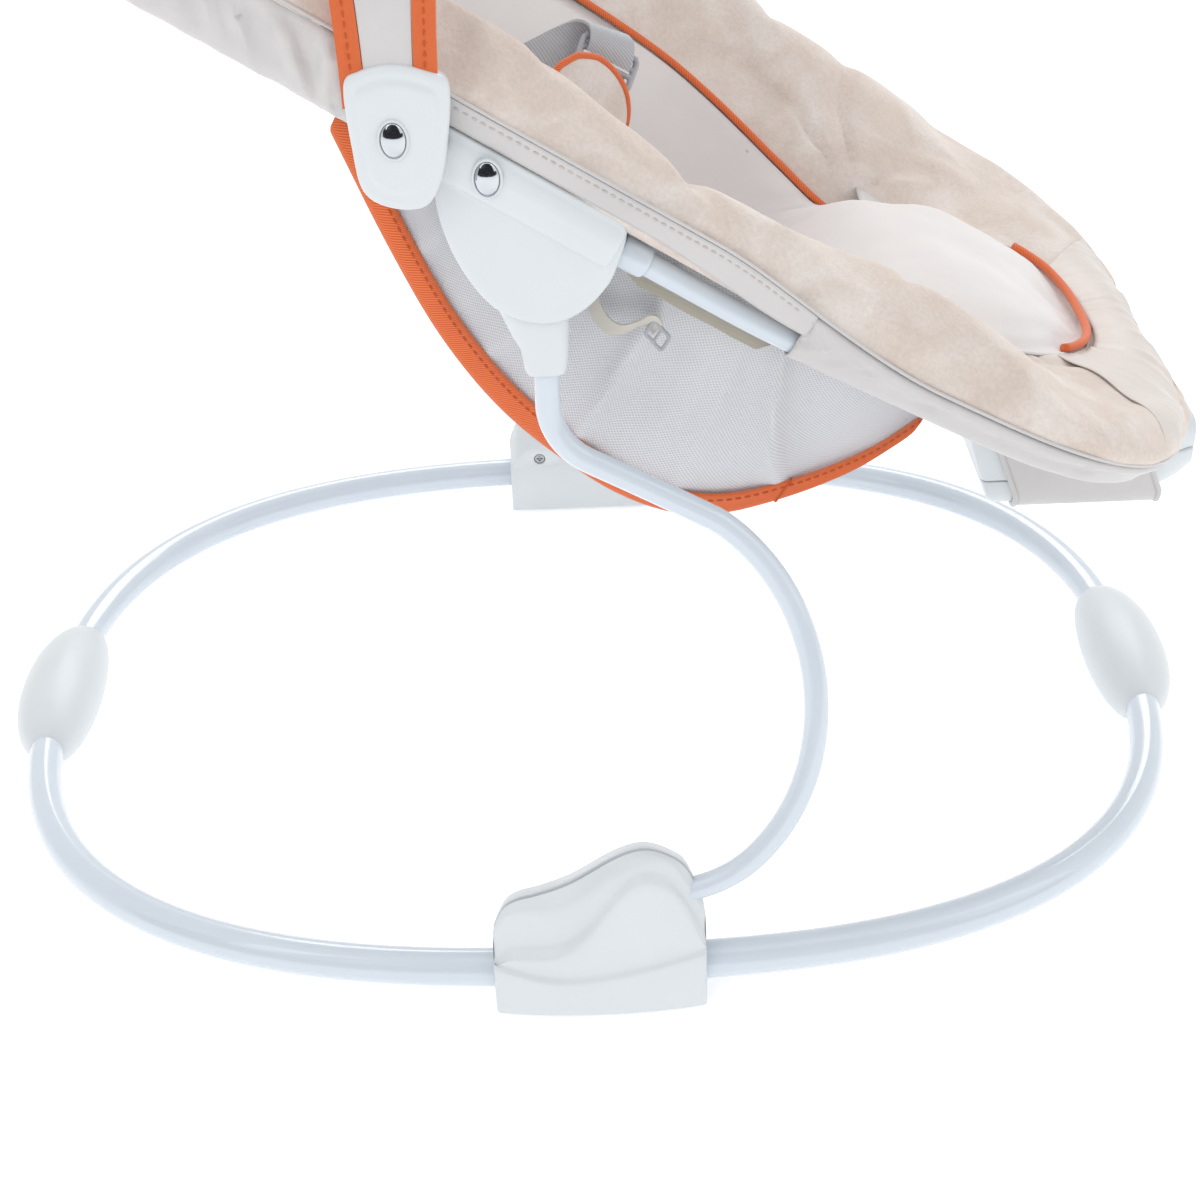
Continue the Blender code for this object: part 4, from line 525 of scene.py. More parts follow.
class Finish:
    """New material with one Principled shader, built up from noises, tints, shines and reliefs."""

    def __init__(self, name, **sockets):
        self.look = bpy.data.materials.new(name)
        self.look.use_nodes = True
        self.tree = self.look.node_tree
        self.tree.nodes.clear()
        self.shader = add(self.tree, "BsdfPrincipled")
        add(self.tree, "OutputMaterial", {"Surface": self.shader.outputs[0]})
        for key, value in sockets.items():
            self.shader.inputs[key.replace("_", " ")].default_value = value
        coords = add(self.tree, "TexCoord")
        self.place, self.flat = coords.outputs["Object"], coords.outputs["UV"]

    def feed(self, socket, value):
        """Links a value to the shader."""
        self.tree.links.new(value, self.shader.inputs[socket])
        return value

    def noise(self, scale, detail=2, place=None, **more):
        """Cloudy grain, finer at a larger scale."""
        return add(self.tree, "TexNoise", {"Vector": self.place if place is None else place, "Scale": scale,
                                           "Detail": detail, **more}).outputs[0]

    def mapped(self, place, **settings):
        return add(self.tree, "Mapping", {"Vector": place, **settings}).outputs[0]

    def spread(self, value, **span):
        """Stretches a value from one range to another."""
        span = {key.replace("_", " "): edge for key, edge in span.items()}
        return add(self.tree, "MapRange", {"Value": value, **span}).outputs[0]

    def tint(self, factor, colours):
        """Colour that drifts between two shades."""
        mix = add(self.tree, "Mix", {0: factor, 6: paint(colours[0]), 7: paint(colours[1])}, data_type="RGBA")
        return self.feed("Base Color", mix.outputs[2])

    def shine(self, value, low, high, **span):
        """Gloss that drifts between two roughnesses."""
        self.feed("Roughness", self.spread(value, To_Min=low, To_Max=high, **span))

    def relief(self, height, strength, depth, **under):
        """Fine relief, its depth in millimetres."""
        bump = add(self.tree, "Bump", {"Strength": strength, "Distance": depth * MM, "Height": height, **under})
        return self.feed("Normal", bump.outputs[0])


def moulded_polypropylene():
    """Injection moulded, with a fine spark-eroded grain: a soft gloss that breaks up a little."""
    skin = Finish("moulded_polypropylene", Roughness=0.4, IOR=1.49)
    broad = skin.noise(35)
    skin.tint(broad, ("#D1D7DB", "#D8DDE0"))
    skin.shine(broad, 0.34, 0.44, From_Min=0.3, From_Max=0.7)
    skin.relief(skin.noise(1400), 0.12, 0.05)
    return skin.look


def enamelled_tube():
    """Stove enamel over steel tube: pale blue-grey, wet gloss with a faint orange peel."""
    skin = Finish("stove_enamelled_steel", Roughness=0.2, IOR=1.5, Coat_Weight=0.6, Coat_Roughness=0.06)
    skin.tint(skin.noise(22, 3), ("#C9D3DD", "#D1DAE3"))
    skin.relief(skin.noise(320, 1), 0.15, 0.05)
    return skin.look


def polished_chrome():
    """Polished chrome plate: a hard mirror with hairline polish marks."""
    skin = Finish("polished_chrome_plate", Metallic=1.0, Base_Color=paint("#C6CAD0"))
    skin.shine(skin.noise(1, place=skin.mapped(skin.place, Scale=(300, 300, 4000))), 0.04, 0.13)
    return skin.look


def plain_grain(name, colours, roughness, scale, depth, metallic=0.0):
    """Rubber, plated screws and matt plastics: a base colour with a fine even grain."""
    skin = Finish(name, Metallic=metallic)
    grain = skin.noise(scale, 3)
    skin.tint(grain, colours)
    skin.shine(grain, roughness - 0.08, roughness + 0.08)
    skin.relief(grain, 0.3, depth)
    return skin.look


def velour_plush():
    """Short knitted pile: beige, paler where a hand has brushed it the other way, soft at its edges."""
    cloth = Finish("velour_plush", Roughness=0.9, Sheen_Weight=0.45, Sheen_Roughness=0.45,
                   Sheen_Tint=paint("#FFF6EE"), IOR=1.3)
    brushed = cloth.noise(24, 4, Roughness=0.55, Distortion=0.6)
    patches = cloth.tint(cloth.spread(brushed, From_Min=0.42, From_Max=0.62), ("#D3C6BD", "#DDD5CF"))
    pile = cloth.noise(520, 3, Roughness=0.7)
    speck = cloth.spread(pile, From_Min=0.25, From_Max=0.75, To_Min=0.9, To_Max=1.06)
    fibres = add(cloth.tree, "VectorMath", {0: patches, 1: speck}, operation="MULTIPLY")
    cloth.feed("Base Color", fibres.outputs[0])
    tufts = cloth.noise(150, 3, Roughness=0.6)
    cloth.relief(add(cloth.tree, "Math", {0: pile, 1: tufts}, operation="ADD").outputs[0], 0.5, 0.6)
    return cloth.look


def brushed_tricot():
    """Brushed warp knit: pale warm grey with a low fuzz and faint ribs."""
    cloth = Finish("brushed_tricot", Roughness=0.88, Sheen_Weight=0.3, Sheen_Roughness=0.5, IOR=1.35)
    cloth.tint(cloth.noise(30, 3), ("#DCD8D7", "#E5E2E1"))
    cloth.relief(cloth.noise(700, 3), 0.35, 0.25)
    return cloth.look


def polyester_satin(name, colours):
    """Satin weave with a broad soft gloss, threads running across and small creases."""
    cloth = Finish(name, Sheen_Weight=0.25, Sheen_Roughness=0.3, IOR=1.45)
    weave = cloth.noise(1, place=cloth.mapped(cloth.place, Scale=(900, 250, 900)))
    cloth.tint(cloth.noise(28, 3), colours)
    cloth.shine(weave, 0.36, 0.56)
    threads = cloth.relief(weave, 0.25, 0.15)
    cloth.relief(cloth.noise(70, 4, Distortion=0.8), 0.35, 1.2, Normal=threads)
    return cloth.look


def dotted_mesh():
    """Warp-knitted spacer mesh: white, with small round holes in rows that are painted darker as painted shade seen
    through them.
    """
    cloth = Finish("spacer_mesh_knit", Roughness=0.75, Sheen_Weight=0.2, IOR=1.4)
    turned = cloth.mapped(cloth.flat, Rotation=(0, 0, math.radians(45)), Scale=(620, 620, 1))
    cells = add(cloth.tree, "TexVoronoi", {"Vector": turned, "Scale": 1, "Randomness": 0.0},
                voronoi_dimensions="2D")
    hole = cloth.spread(cells.outputs["Distance"], From_Min=0.2, From_Max=0.38)
    # Painted shade: each hole is tinted darker for the shade that would show through it
    cloth.tint(hole, ("#B7B9C0", "#D7D8DC"))
    cloth.relief(hole, 0.5, 0.3)
    return cloth.look


def twill_tape(name, colours, rib):
    """Woven tape: slanting twill ribs, drawn a little coarser than they are so that they show."""
    cloth = Finish(name, Roughness=0.72, Sheen_Weight=0.25, IOR=1.4)
    turned = cloth.mapped(cloth.flat, Rotation=(0, 0, math.radians(38)))
    ribs = add(cloth.tree, "TexWave", {"Vector": turned, "Scale": 0.5 / (rib * MM), "Distortion": 0.4,
                                       "Detail": 1}, wave_profile="SIN").outputs["Fac"]
    cloth.tint(ribs, colours)
    cloth.relief(ribs, 0.5, 0.3)
    return cloth.look


PLASTIC = moulded_polypropylene()
ENAMEL = enamelled_tube()
CHROME = polished_chrome()
RUBBER = plain_grain("moulded_rubber", ("#B4B6B8", "#BEC0C2"), 0.8, 900, 0.2)
ZINC = plain_grain("zinc_plated_steel", ("#9FA2A6", "#B4B6B9"), 0.36, 1500, 0.05, 1.0)
GREY = plain_grain("moulded_acetal", ("#A3A5AC", "#AEB0B6"), 0.45, 1100, 0.08)
WRAP = plain_grain("printed_cell_film", ("#6F7278", "#7A7D83"), 0.3, 700, 0.03)
THREAD = plain_grain("spun_polyester_thread", ("#B9B1AB", "#C8C0BA"), 0.7, 2500, 0.1)
ORANGE_THREAD = plain_grain("orange_sewing_thread", ("#B74A17", "#C75A24"), 0.65, 2500, 0.1)
PLUSH = velour_plush()
TRICOT = brushed_tricot()
SATIN = polyester_satin("polyester_satin", ("#C3C1C1", "#CFCDCD"))
BRUSHED_SATIN = polyester_satin("brushed_polyester_satin", ("#CCC3BD", "#D9D2CC"))
MESH = dotted_mesh()
ORANGE = twill_tape("orange_twill_tape", ("#CE5320", "#EC7E48"), 1.6)
KHAKI = twill_tape("khaki_twill_tape", ("#A9A294", "#C2BCAE"), 1.2)
ECRU = twill_tape("ecru_twill_tape", ("#C4C0B7", "#D5D1C8"), 1.2)
WEBBING = twill_tape("grey_polypropylene_webbing", ("#A9ABB0", "#C0C2C7"), 2.0)

# Base

def superoval():
    route = [Vector((RING_HALF_LENGTH * signed_power(math.cos(angle), 2 / RING_POWER),
                     RING_HALF_WIDTH * signed_power(math.sin(angle), 2 / RING_POWER), RING_HEIGHT))
             for angle in (2 * math.pi * index / 120 for index in range(120))]
    return even(route, 240, closed=True)


oval = superoval()
rings = []
for index, point in enumerate(oval):
    ahead = (oval[(index + 1) % len(oval)] - oval[index - 1]).normalized()
    out = Vector((ahead.y, -ahead.x, 0))
    rings.append([point + RING_TUBE * (out * math.cos(a) + Vector((0, 0, 1)) * math.sin(a)) for a in circle(24)])
done(loft("base_ring", rings, along=True, size=(1.7, 0.056)), ENAMEL, "base", ("base_tube_head", "base_tube_foot"))

EGG_HALF_LENGTH = 60 * MM
EGG_HALF_WIDTH = 22 * MM
EGG_HALF_HEIGHT = 21 * MM
for label, side in (("foot", 1), ("head", -1)):
    rings = []
    for index in range(61):
        angle = math.pi * min(max(index / 60, 0.002), 0.998)
        y = -EGG_HALF_LENGTH * math.cos(angle)
        swell = math.sin(angle) ** 0.75
        bend = RING_HALF_LENGTH * (1 - (1 - abs(y / RING_HALF_WIDTH) ** RING_POWER) ** (1 / RING_POWER))
        centre = side * (RING_HALF_LENGTH - bend)
        rings.append([(centre + EGG_HALF_WIDTH * swell * math.cos(a), y,
                       max(RING_HEIGHT + EGG_HALF_HEIGHT * swell * math.sin(a), 0.0))
                      for a in (2 * math.pi * turn / 40 for turn in range(40))])
    done(loft(label + "_foot_egg", rings), PLASTIC, "base", label + "_pod", angle=50)

# Side housings: heights along each, in millimetres, of the top, the ridge in front of it, the wave and the crease

TOP = ((-50, 44), (-45, 56), (-39, 61), (-29, 64), (-14, 70), (9, 84), (22, 87), (35, 81), (41, 74), (48, 52))
RIDGE = ((-50, 42), (-43, 55), (-18, 60), (-7, 67), (5, 78), (21, 86), (34, 80), (48, 50))
WAVE = ((-50, 29), (-42, 36), (-30, 37), (-18, 39.5), (-7, 48), (2, 60), (10, 71), (20, 77.5), (32, 72), (41, 56),
        (48, 36))
CREASE = ((-50, 30), (-24, 23), (-1, 24), (48, 34))
HOUSING_LEFT = -50 * MM
HOUSING_RIGHT = 48 * MM
ROUNDED_ENDS = ((0, 2.5), (0.2, 1.4), (0.8, 0.4))
SCREWS = (("head", -30, 40), ("foot", 27, 43))


def housing_section(x, side, shrink):
    half = (HOUSING_RIGHT - HOUSING_LEFT) / 2
    middle = (HOUSING_RIGHT + HOUSING_LEFT) / 2
    front = (12.5 + 4 * (1 - ((x - middle) / half) ** 2)) * MM - shrink
    top = table(TOP, x) - shrink
    ridge = min(table(RIDGE, x), top - 0.5 * MM)
    wave = min(table(WAVE, x), ridge - 2 * MM)
    crease = table(CREASE, x)
    bottom = FLOOR_PAD + 0.3 * MM
    profile = (
        (0, bottom), (front * 0.5, bottom), (front - 1.0 * MM, bottom), (front, bottom + 1.0 * MM),
        (front + 0.2 * MM, (bottom + crease) / 2), (front, crease - 1.2 * MM), (front - 0.4 * MM, crease - 0.2 * MM),
        (front - 2.4 * MM, crease + 0.8 * MM), (front - 2.5 * MM, crease * 0.8 + wave * 0.2),
        (front - 1.9 * MM, crease * 0.5 + wave * 0.5), (front - 2.2 * MM, crease * 0.2 + wave * 0.8),
        (front - 3.2 * MM, wave - 2.0 * MM), (front - 4.6 * MM, wave - 0.4 * MM), (front - 6.6 * MM, wave + 0.6 * MM),
        (front - 7.6 * MM, wave * 0.75 + ridge * 0.25), (front - 8.4 * MM, wave * 0.3 + ridge * 0.7),
        (front * 0.36, ridge - 0.3 * MM), (front * 0.3, ridge + 0.1 * MM), (front * 0.12, top - 0.2 * MM), (0, top),
    )
    return [(x, side * (RING_HALF_WIDTH + out), z) for out, z in profile]


for label, side in SIDES:
    rings = [housing_section(HOUSING_LEFT + far * MM, side, shrink * MM) for far, shrink in ROUNDED_ENDS]
    rings += [housing_section(x * MM, side, 0) for x in np.linspace(-48.4, 46.4, 46)]
    rings += [housing_section(HOUSING_RIGHT - far * MM, side, shrink * MM) for far, shrink in ROUNDED_ENDS[::-1]]
    shell = refine(loft(label + "_housing_face", rings))
    done(shell, PLASTIC, "base", label + "_housing_shell", angle=40)

    rings = []
    inner = side * (RING_HALF_WIDTH - 0.15 * MM)
    back = side * (RING_HALF_WIDTH - 23 * MM)
    for y, drop, edge in ((inner, 0.4, 0.6), (back + side * 12 * MM, 6.6, 0.6), (back + side * 1.6 * MM, 13.8, 0.6),
                          (back + side * 0.5 * MM, 14.3, 1.0), (back, 15.4, 2.0)):
        left, right = HOUSING_LEFT + edge * MM, HOUSING_RIGHT - edge * MM
        low = (2.3 + (edge - 0.6)) * MM
        rings.append([(x, y, low) for x in np.linspace(right, left, 9)]
                     + [(x, y, table(TOP, x) - drop * MM) for x in np.linspace(left, right, 49)])
    cover = loft(label + "_housing_back", rings)
    cut(cover, *[disc("screw_hole", (x * MM, z * MM), 3.6 * MM, back - side * 2 * MM, back + side * 3 * MM, 24)
                 for _, x, z in SCREWS])
    soften_edges(cover, 0.5 * MM)
    done(cover, PLASTIC, "base", label + "_housing_cover", angle=35)

    # Cross-head screws sunk in the cover
    for end, x, z in SCREWS:
        face = back + side * 0.9 * MM
        screw = disc(f"{label}_{end}_cross_screw", (x * MM, z * MM), 3.2 * MM, back + side * 2.7 * MM, face)
        cut(screw, *[block("cross_slot", (x * MM, face, z * MM), (wide * MM, 2 * MM, tall * MM))
                     for wide, tall in ((3.6, 0.8), (0.8, 3.6))])
        soften_edges(screw, 0.25 * MM)
        done(screw, ZINC, "base", f"{label}_{end}_screw", angle=35)

    foot = slab(label + "_rubber_foot", rounded(((-38, -12), (38, -12), (38, 12), (-38, 12)), 5),
                ((0.4, 0), (0, 0.4), (0, 2.0)),
                lambda x, y, z, side=side: Vector((x * MM, side * (RING_HALF_WIDTH - 4 * MM) + y * MM, z * MM)),
                (0, 0))
    done(foot, RUBBER, "base", label + "_floor_pad", angle=40)

# Spring rods

ROD_FOOT = (6.0, 61.0)
ROD_TOP = 282


def rod_route(side):
    """Straight lengths and bends in one plane, from the housing up. The plane leans inwards to the frame."""
    (x, z), heading = ROD_FOOT, 0.0
    points = [(x, z)]
    for straight, turn, radius in ROD_BENDS:
        steps = max(round(straight / 6), 1) if straight else 0
        for _ in range(steps):
            x += straight / steps * math.cos(heading)
            z += straight / steps * math.sin(heading)
            points.append((x, z))
        steps = math.ceil(abs(turn) / 3)
        for _ in range(steps):
            bend = math.radians(turn) / steps
            chord = 2 * radius * math.sin(abs(bend) / 2)
            x += chord * math.cos(heading + bend / 2)
            z += chord * math.sin(heading + bend / 2)
            heading += bend
            points.append((x, z))
    route = []
    for x, z in points:
        lean = (RING_HALF_WIDTH - HALF_WIDTH) * ease(z, ROD_FOOT[1], ROD_TOP)
        route.append(Vector((x * MM, side * (RING_HALF_WIDTH - lean), z * MM)))
    return route


for label, side in SIDES:
    rod = done(bar(label + "_spring_rod", rod_route(side), ROD, 22), ENAMEL, None, label + "_spring_leg")
    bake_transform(rod)

# Sockets on the rods

pivot = seat_point(6 * MM, 0, -23 * MM)
rod_x = rod_route(1)[-1].x
for label, side in SIDES:
    x, z = pivot.x / MM, pivot.z / MM
    tip, rx = z - 52, rod_x / MM
    levels = ((15, x - 2, x + 2, 5), (13.4, x - 7, x + 7, 6.6), (9, x - 12, x + 12, 7), (0, x - 15, x + 15, 7),
              (-6, x - 15, x + 15, 7), (-10, x - 14.6, rx + 8.6, 7), (-16, x - 13.4, rx + 9.6, 7.2),
              (-22, x - 11.4 + 0.2 * (rx - x), rx + 10.4, 7.6), (-28, x - 10.8 + 0.4 * (rx - x), rx + 10.6, 8),
              (-34, x - 10.4 + 0.66 * (rx - x), rx + 10.4, 8.2), (-40, rx - 10.2, rx + 10, 8.2),
              (-45, rx - 9.6, rx + 9.6, 8), (-49, rx - 9, rx + 9, 7.8), (-51.2, rx - 8, rx + 8.2, 7),
              (-52, rx - 6.4, rx + 6.8, 5.6))
    rows = np.array(levels, float)
    fine = np.linspace(0, len(rows) - 1, 57)
    rings = []
    for drop, left, right, deep in np.stack([np.interp(fine, range(len(rows)), column) for column in rows.T], axis=1):
        rings.append([((left + right + (right - left) * signed_power(math.cos(a), 0.55)) / 2 * MM,
                       side * HALF_WIDTH + deep * signed_power(math.sin(a), 0.55) * MM, (z + drop) * MM)
                      for a in circle(40)])
    done(loft(label + "_rod_socket", rings), PLASTIC, "legs_top", label + "_leg_socket", angle=50)

# Frame tubes, the thinner one plugged into the thicker

def frame_plan(start, curve, tip, side_steps, end_steps, turn=-1):
    """Plan of one end of the frame, from one side round to the other."""
    sides = [start + (curve - start) * step / side_steps for step in range(side_steps)]
    return ([(s, turn * HALF_WIDTH) for s in sides]
            + [(s, -turn * y) for s, y in end_curve(curve, tip, HALF_WIDTH, end_steps)]
            + [(s, -turn * HALF_WIDTH) for s in reversed(sides)])


def bow(name, plan, radius, end_radius, node):
    thickness = [end_radius] + [radius] * (len(plan) - 2) + [end_radius]
    done(bar(name, [seat_point(s, y, 0) for s, y in plan], thickness, 22), ENAMEL, "seat", node)


bow("backrest_bow", frame_plan(TUBE_JOINT, HEAD_CURVE, HEAD_TIP, 24, 72), BACK_TUBE, 5.7 * MM, "backrest_tube")
bow("seat_bow", frame_plan(TUBE_JOINT - 14 * MM, FOOT_CURVE, FOOT_TIP, 40, 72), SEAT_TUBE, SEAT_TUBE, "seat_tube")

# Swaged end of the thicker tube, with the two dimples that hold the thinner one

for label, side in SIDES:
    profile = ((TUBE_JOINT - 13 * MM, 6.7), (TUBE_JOINT - 12 * MM, 7.0), (TUBE_JOINT - 2.5 * MM, 7.0),
               (TUBE_JOINT - 0.8 * MM, 6.8), (TUBE_JOINT, 6.1), (TUBE_JOINT + 0.3 * MM, 5.3))
    collar = refine(loft(label + "_swaged_collar",
                         [[seat_point(s, side * HALF_WIDTH + r * MM * math.cos(a), r * MM * math.sin(a))
                           for a in circle(40)] for s, r in profile], caps=False))
    dimple_y, dimple_h = side * (HALF_WIDTH + 5.4 * MM), 4.9 * MM
    inward = np.array(tuple(seat_point(TUBE_JOINT, side * HALF_WIDTH, 0) - seat_point(TUBE_JOINT, dimple_y, dimple_h)))
    inward /= np.linalg.norm(inward)
    for s in (-8.5, -4.5):
        centre = np.array(tuple(seat_point(TUBE_JOINT + s * MM, dimple_y, dimple_h)))
        away = np.linalg.norm(places(collar) - centre, axis=1)
        move_to(collar, places(collar) + inward * (0.8 * MM * np.exp(-(away / (1.7 * MM)) ** 2))[:, None])
    done(collar, ENAMEL, "seat")

# Hubs

HUB_LINE = [(-44.5, 13.5), (-30, 13.5), (-10, 13.5), (12, 13.5), (32, 13.5), (36, 11.5), (39, 5.5)]
for index in range(13):
    angle = math.radians(90 * index / 12)
    HUB_LINE.append((9 + 33 * math.cos(angle) ** (2 / 2.4), -9 - 36 * math.sin(angle) ** (2 / 2.4)))
for index in range(1, 13):
    angle = math.radians(90 * index / 12)
    HUB_LINE.append((9 - 51 * math.sin(angle) ** (2 / 1.5), -3 - 42 * math.cos(angle) ** (2 / 1.5)))
HUB_LINE.append((-46, 10.5))
HUB_CENTRE = (2, -14)
hub_line = [tuple(p) for p in even(HUB_LINE, 150, closed=True)]


def hub_place(side):
    return lambda s, h, out: seat_point(s * MM, side * (HALF_WIDTH + out * MM), h * MM)


for label, side in SIDES:
    face = slab(label + "_hub_plate", hub_line, ((0.2, 0.15), (0, 0.5), (0, 8.2), (0.3, 9.3), (0.9, 10.0), (1.8, 10.4),
                                                 (3.2, 10.5)), hub_place(side), HUB_CENTRE)
    profile = [(8.5, -7.4), (10.7, -7.0), (12.2, -6.2), (13.1, -4.6), (13.4, -1.6), (13.4, 4), (12.9, 6.6), (12, 8.8),
               (10.4, 10.8), (8, 12.2), (5, 12.9), (1, 13.1), (1, -7)]
    rings = []
    for s, scale in ((-44.6, 0.78), (-44.2, 0.9), (-43.2, 0.97), (-41.5, 1), (-20, 1), (10, 1), (34, 1), (35.8, 0.99),
                     (36.8, 0.95), (37.2, 0.88)):
        rings.append([seat_point(s * MM, side * (HALF_WIDTH + out * scale * MM), h * scale * MM)
                      for out, h in profile])
    ridge = loft(label + "_hub_ridge", rings)
    shell = cast(label + "_hub_face", [face, ridge], 0.65 * MM, 3)
    done(shell, PLASTIC, "seat", label + "_hub_shell")
    cover = slab(label + "_hub_back", hub_line, ((0.2, -0.15), (0, -0.5), (0, -12), (0.5, -13.4), (2.2, -14)),
                 hub_place(side), HUB_CENTRE)
    done(cover, PLASTIC, "seat", label + "_hub_cover", angle=40)

CAP_HALF_WIDTH = 5 * MM
CAP_HALF_HEIGHT = 7 * MM
DOME = ((1, -0.2), (1, 0.14), (0.97, 0.27), (0.9, 0.42), (0.8, 0.58), (0.66, 0.75), (0.5, 0.88), (0.32, 0.97),
        (0.14, 1.01), (0.01, 1.02))
COLLAR = ((1.0, -0.3), (1.02, 0.25), (1.08, 0.42), (1.18, 0.4), (1.24, 0.1), (1.25, -0.3))


def chrome_cap(name, place, base, side, body, node):
    """Oval domed cap in a thin raised collar."""
    def oval_ring(share, tall, out):
        return [(place.x + CAP_HALF_WIDTH * share * math.cos(a), base + side * out, place.z + tall * math.sin(a))
                for a in circle(40)]

    dome = loft(name, [oval_ring(share, CAP_HALF_HEIGHT * share, 2.6 * MM * rise) for share, rise in DOME])
    done(dome, CHROME, body, node, angle=50)
    collar = loft(name + "_collar", [oval_ring(share, (7 + 5 * (share - 1)) * MM, 2 * MM * rise)
                                     for share, rise in COLLAR], caps=False)
    return done(collar, PLASTIC, body)


for label, side in SIDES:
    chrome_cap(label + "_hub_dome", seat_point(-23 * MM, 0, 3.5 * MM), side * (HALF_WIDTH + 13.7 * MM), side, "seat",
               label + "_hub_rivet")

# Toy bar and its brackets

bar_pivot = seat_point(BAR_S, 0, 2 * MM)
BRACKET = ((-17.5, 21), (-11, 26.5), (1, 28.6), (14, 25.8), (22.6, 19.6), (20.5, -4), (16.4, -20), (9.4, -28.6),
           (-4, -28), (-13.6, -21), (-16.4, -4))
BRACKET_CENTRE = (1.5, 0)
bracket_line = [tuple(p) for p in even(BRACKET, 140, closed=True)]
raised_line = [(2 + (x - 2) * 0.77, y * 0.8) for x, y in bracket_line]
for label, side in SIDES:
    place = lambda a, b, out, side=side: Vector((bar_pivot.x + a * MM, side * (HALF_WIDTH + out * MM),
                                                 bar_pivot.z + b * MM))
    shell = slab(label + "_bracket_body", bracket_line, ((0, 18.15), (0, 19.8), (0.3, 20.9), (1.2, 21.7), (2.6, 22.0)),
                 place, BRACKET_CENTRE)
    raised = slab(label + "_bracket_raised", raised_line,
                  ((0, 20), (0.1, 21.4), (0.6, 22.4), (1.5, 22.9), (2.6, 23.0)), place, BRACKET_CENTRE)
    done(cast(label + "_bracket_face", [shell, raised], 0.6 * MM, 4), PLASTIC, "toy_bar", label + "_bracket_shell")
    back = slab(label + "_bracket_back", bracket_line, ((1.6, 14), (0.6, 14.3), (0.2, 15.2), (0.2, 17.85)), place,
                BRACKET_CENTRE)
    done(back, PLASTIC, "toy_bar", label + "_bracket_cover", angle=40)
    chrome_cap(label + "_bracket_dome", bar_pivot, side * (HALF_WIDTH + 23.3 * MM), side, "toy_bar",
               label + "_bracket_cap")

BAR_HALF_SPAN = 212
BAR_RISE = 300
BAR_STATIONS = 181
RIBBON_WIDTH = 9 * MM
SLEEVE_EDGE = 9.3 * MM


def bar_station(index):
    """Centre, outward direction and width of the toy bar's strap, from near end to far end."""
    angle = math.pi * index / (BAR_STATIONS - 1)
    centre = Vector((bar_pivot.x, -BAR_HALF_SPAN * MM * math.cos(angle),
                     bar_pivot.z + 12 * MM + BAR_RISE * MM * math.sin(angle)))
    outward = Vector((0, -math.cos(angle) / BAR_HALF_SPAN, math.sin(angle) / BAR_RISE)).normalized()
    return centre, outward, (37 + 55 * ease(math.sin(angle), 0, 1)) * MM


def strap(name, low, high, thick, crown_height, look, node, columns=12):
    """Strap between two edges, each given for a width of the bar, with its outer face a little crowned."""
    rings = []
    for index in range(BAR_STATIONS):
        centre, outward, width = bar_station(index)
        left, right = low(width), high(width)
        shares = [step / columns for step in range(columns + 1)]
        outer = []
        for share in shares:
            crowned = crown_height * (1 - (2 * share - 1) ** 4)
            wave = 0.35 * MM * ripple((index * 4 * MM, share * 0.03, 0), 14 * MM, 3)
            outer.append(thick / 2 + crowned + wave * crowned / crown_height)
        rings.append([centre + Vector((left + (right - left) * share, 0, 0)) + outward * out for share, out in
                      list(zip(shares, outer)) + [(share, -thick / 2) for share in reversed(shares)]])
    return done(loft(name, rings, size=(0.82, 0.12)), look, "toy_bar", node, angle=60)


strap("toy_bar_sleeve", lambda w: SLEEVE_EDGE - w / 2, lambda w: w / 2 - SLEEVE_EDGE, 3.2 * MM, 0.8 * MM, SATIN,
      ("toy_bar_cover", "toy_bar_core"))
for name, low, high in (("head", lambda w: -w / 2, lambda w: RIBBON_WIDTH - w / 2),
                        ("foot", lambda w: w / 2 - RIBBON_WIDTH, lambda w: w / 2)):
    strap(f"toy_bar_{name}_ribbon", low, high, 4.0 * MM, 0.4 * MM, ORANGE, f"toy_bar_{name}_tape", 6)
    for label, out in (("out", 2.5 * MM), ("in", -2.1 * MM)):
        line = []
        for centre, outward, width in map(bar_station, range(BAR_STATIONS)):
            line.append(centre + Vector(((low(width) + high(width)) / 2, 0, 0)) + outward * out)
        stitches(f"toy_bar_{name}_stitches_{label}", line, ORANGE_THREAD, "toy_bar", length=2.8)

# Plush roll round the seat

SIDE_STEPS, END_STEPS = 70, 90
outer_rim = rim(HALF_WIDTH + OVERHANG, FOOT_TIP + OVERHANG, HEAD_TIP - OVERHANG, SIDE_STEPS, END_STEPS)
inner_rim = rim(INNER_SEAM, INNER_FOOT, INNER_HEAD, SIDE_STEPS, END_STEPS, INNER_FOOT_CURVE, INNER_HEAD_CURVE)
LIFT = ((0, 0), (0.08, 0.5), (0.24, 0.88), (0.45, 1), (0.68, 0.86), (0.88, 0.5), (1, 0))


def over_roll(s, low, high, share):
    """Height of the roll's upper side, from its outer seam at share 0 to the piping at share 1."""
    return low + (high - low) * share + (crown(s) - (low + (high - low) * 0.45)) * max(between(LIFT, share), 0)


rings, inner_seam_route, outer_seam_route = [], [], []
for (s0, y0), (s1, y1) in zip(outer_rim, inner_rim):
    y1 *= piping_taper(s1)
    low, high = seam_height(s0), piping_height(s1)
    inner_seam_route.append(seat_point(s1, y1, high))
    outer_seam_route.append(seat_point(s0, y0, low))
    profile = []
    for step in range(27):
        share = step / 26 - 0.06 * math.sin(2 * math.pi * step / 26)
        profile.append((share, over_roll(s0, low, high, share)))
    tuck = high - 3 * MM
    for share in (0.985, 0.9, 0.75, 0.58, 0.45, 0.32, 0.2, 0.1, 0.03):
        sink = tuck + (underside(s0) - tuck) * ease(1 - share, 0.02, 0.62)
        profile.append((share, min(sink, low - 2 * MM) if share < 0.1 else sink))
    rings.append([seat_point(s0 + (s1 - s0) * share, y0 + (y1 - y0) * share, h) for share, h in profile])
bolster = loft("plush_bolster", rings, along=True, size=(1.75, 0.2))
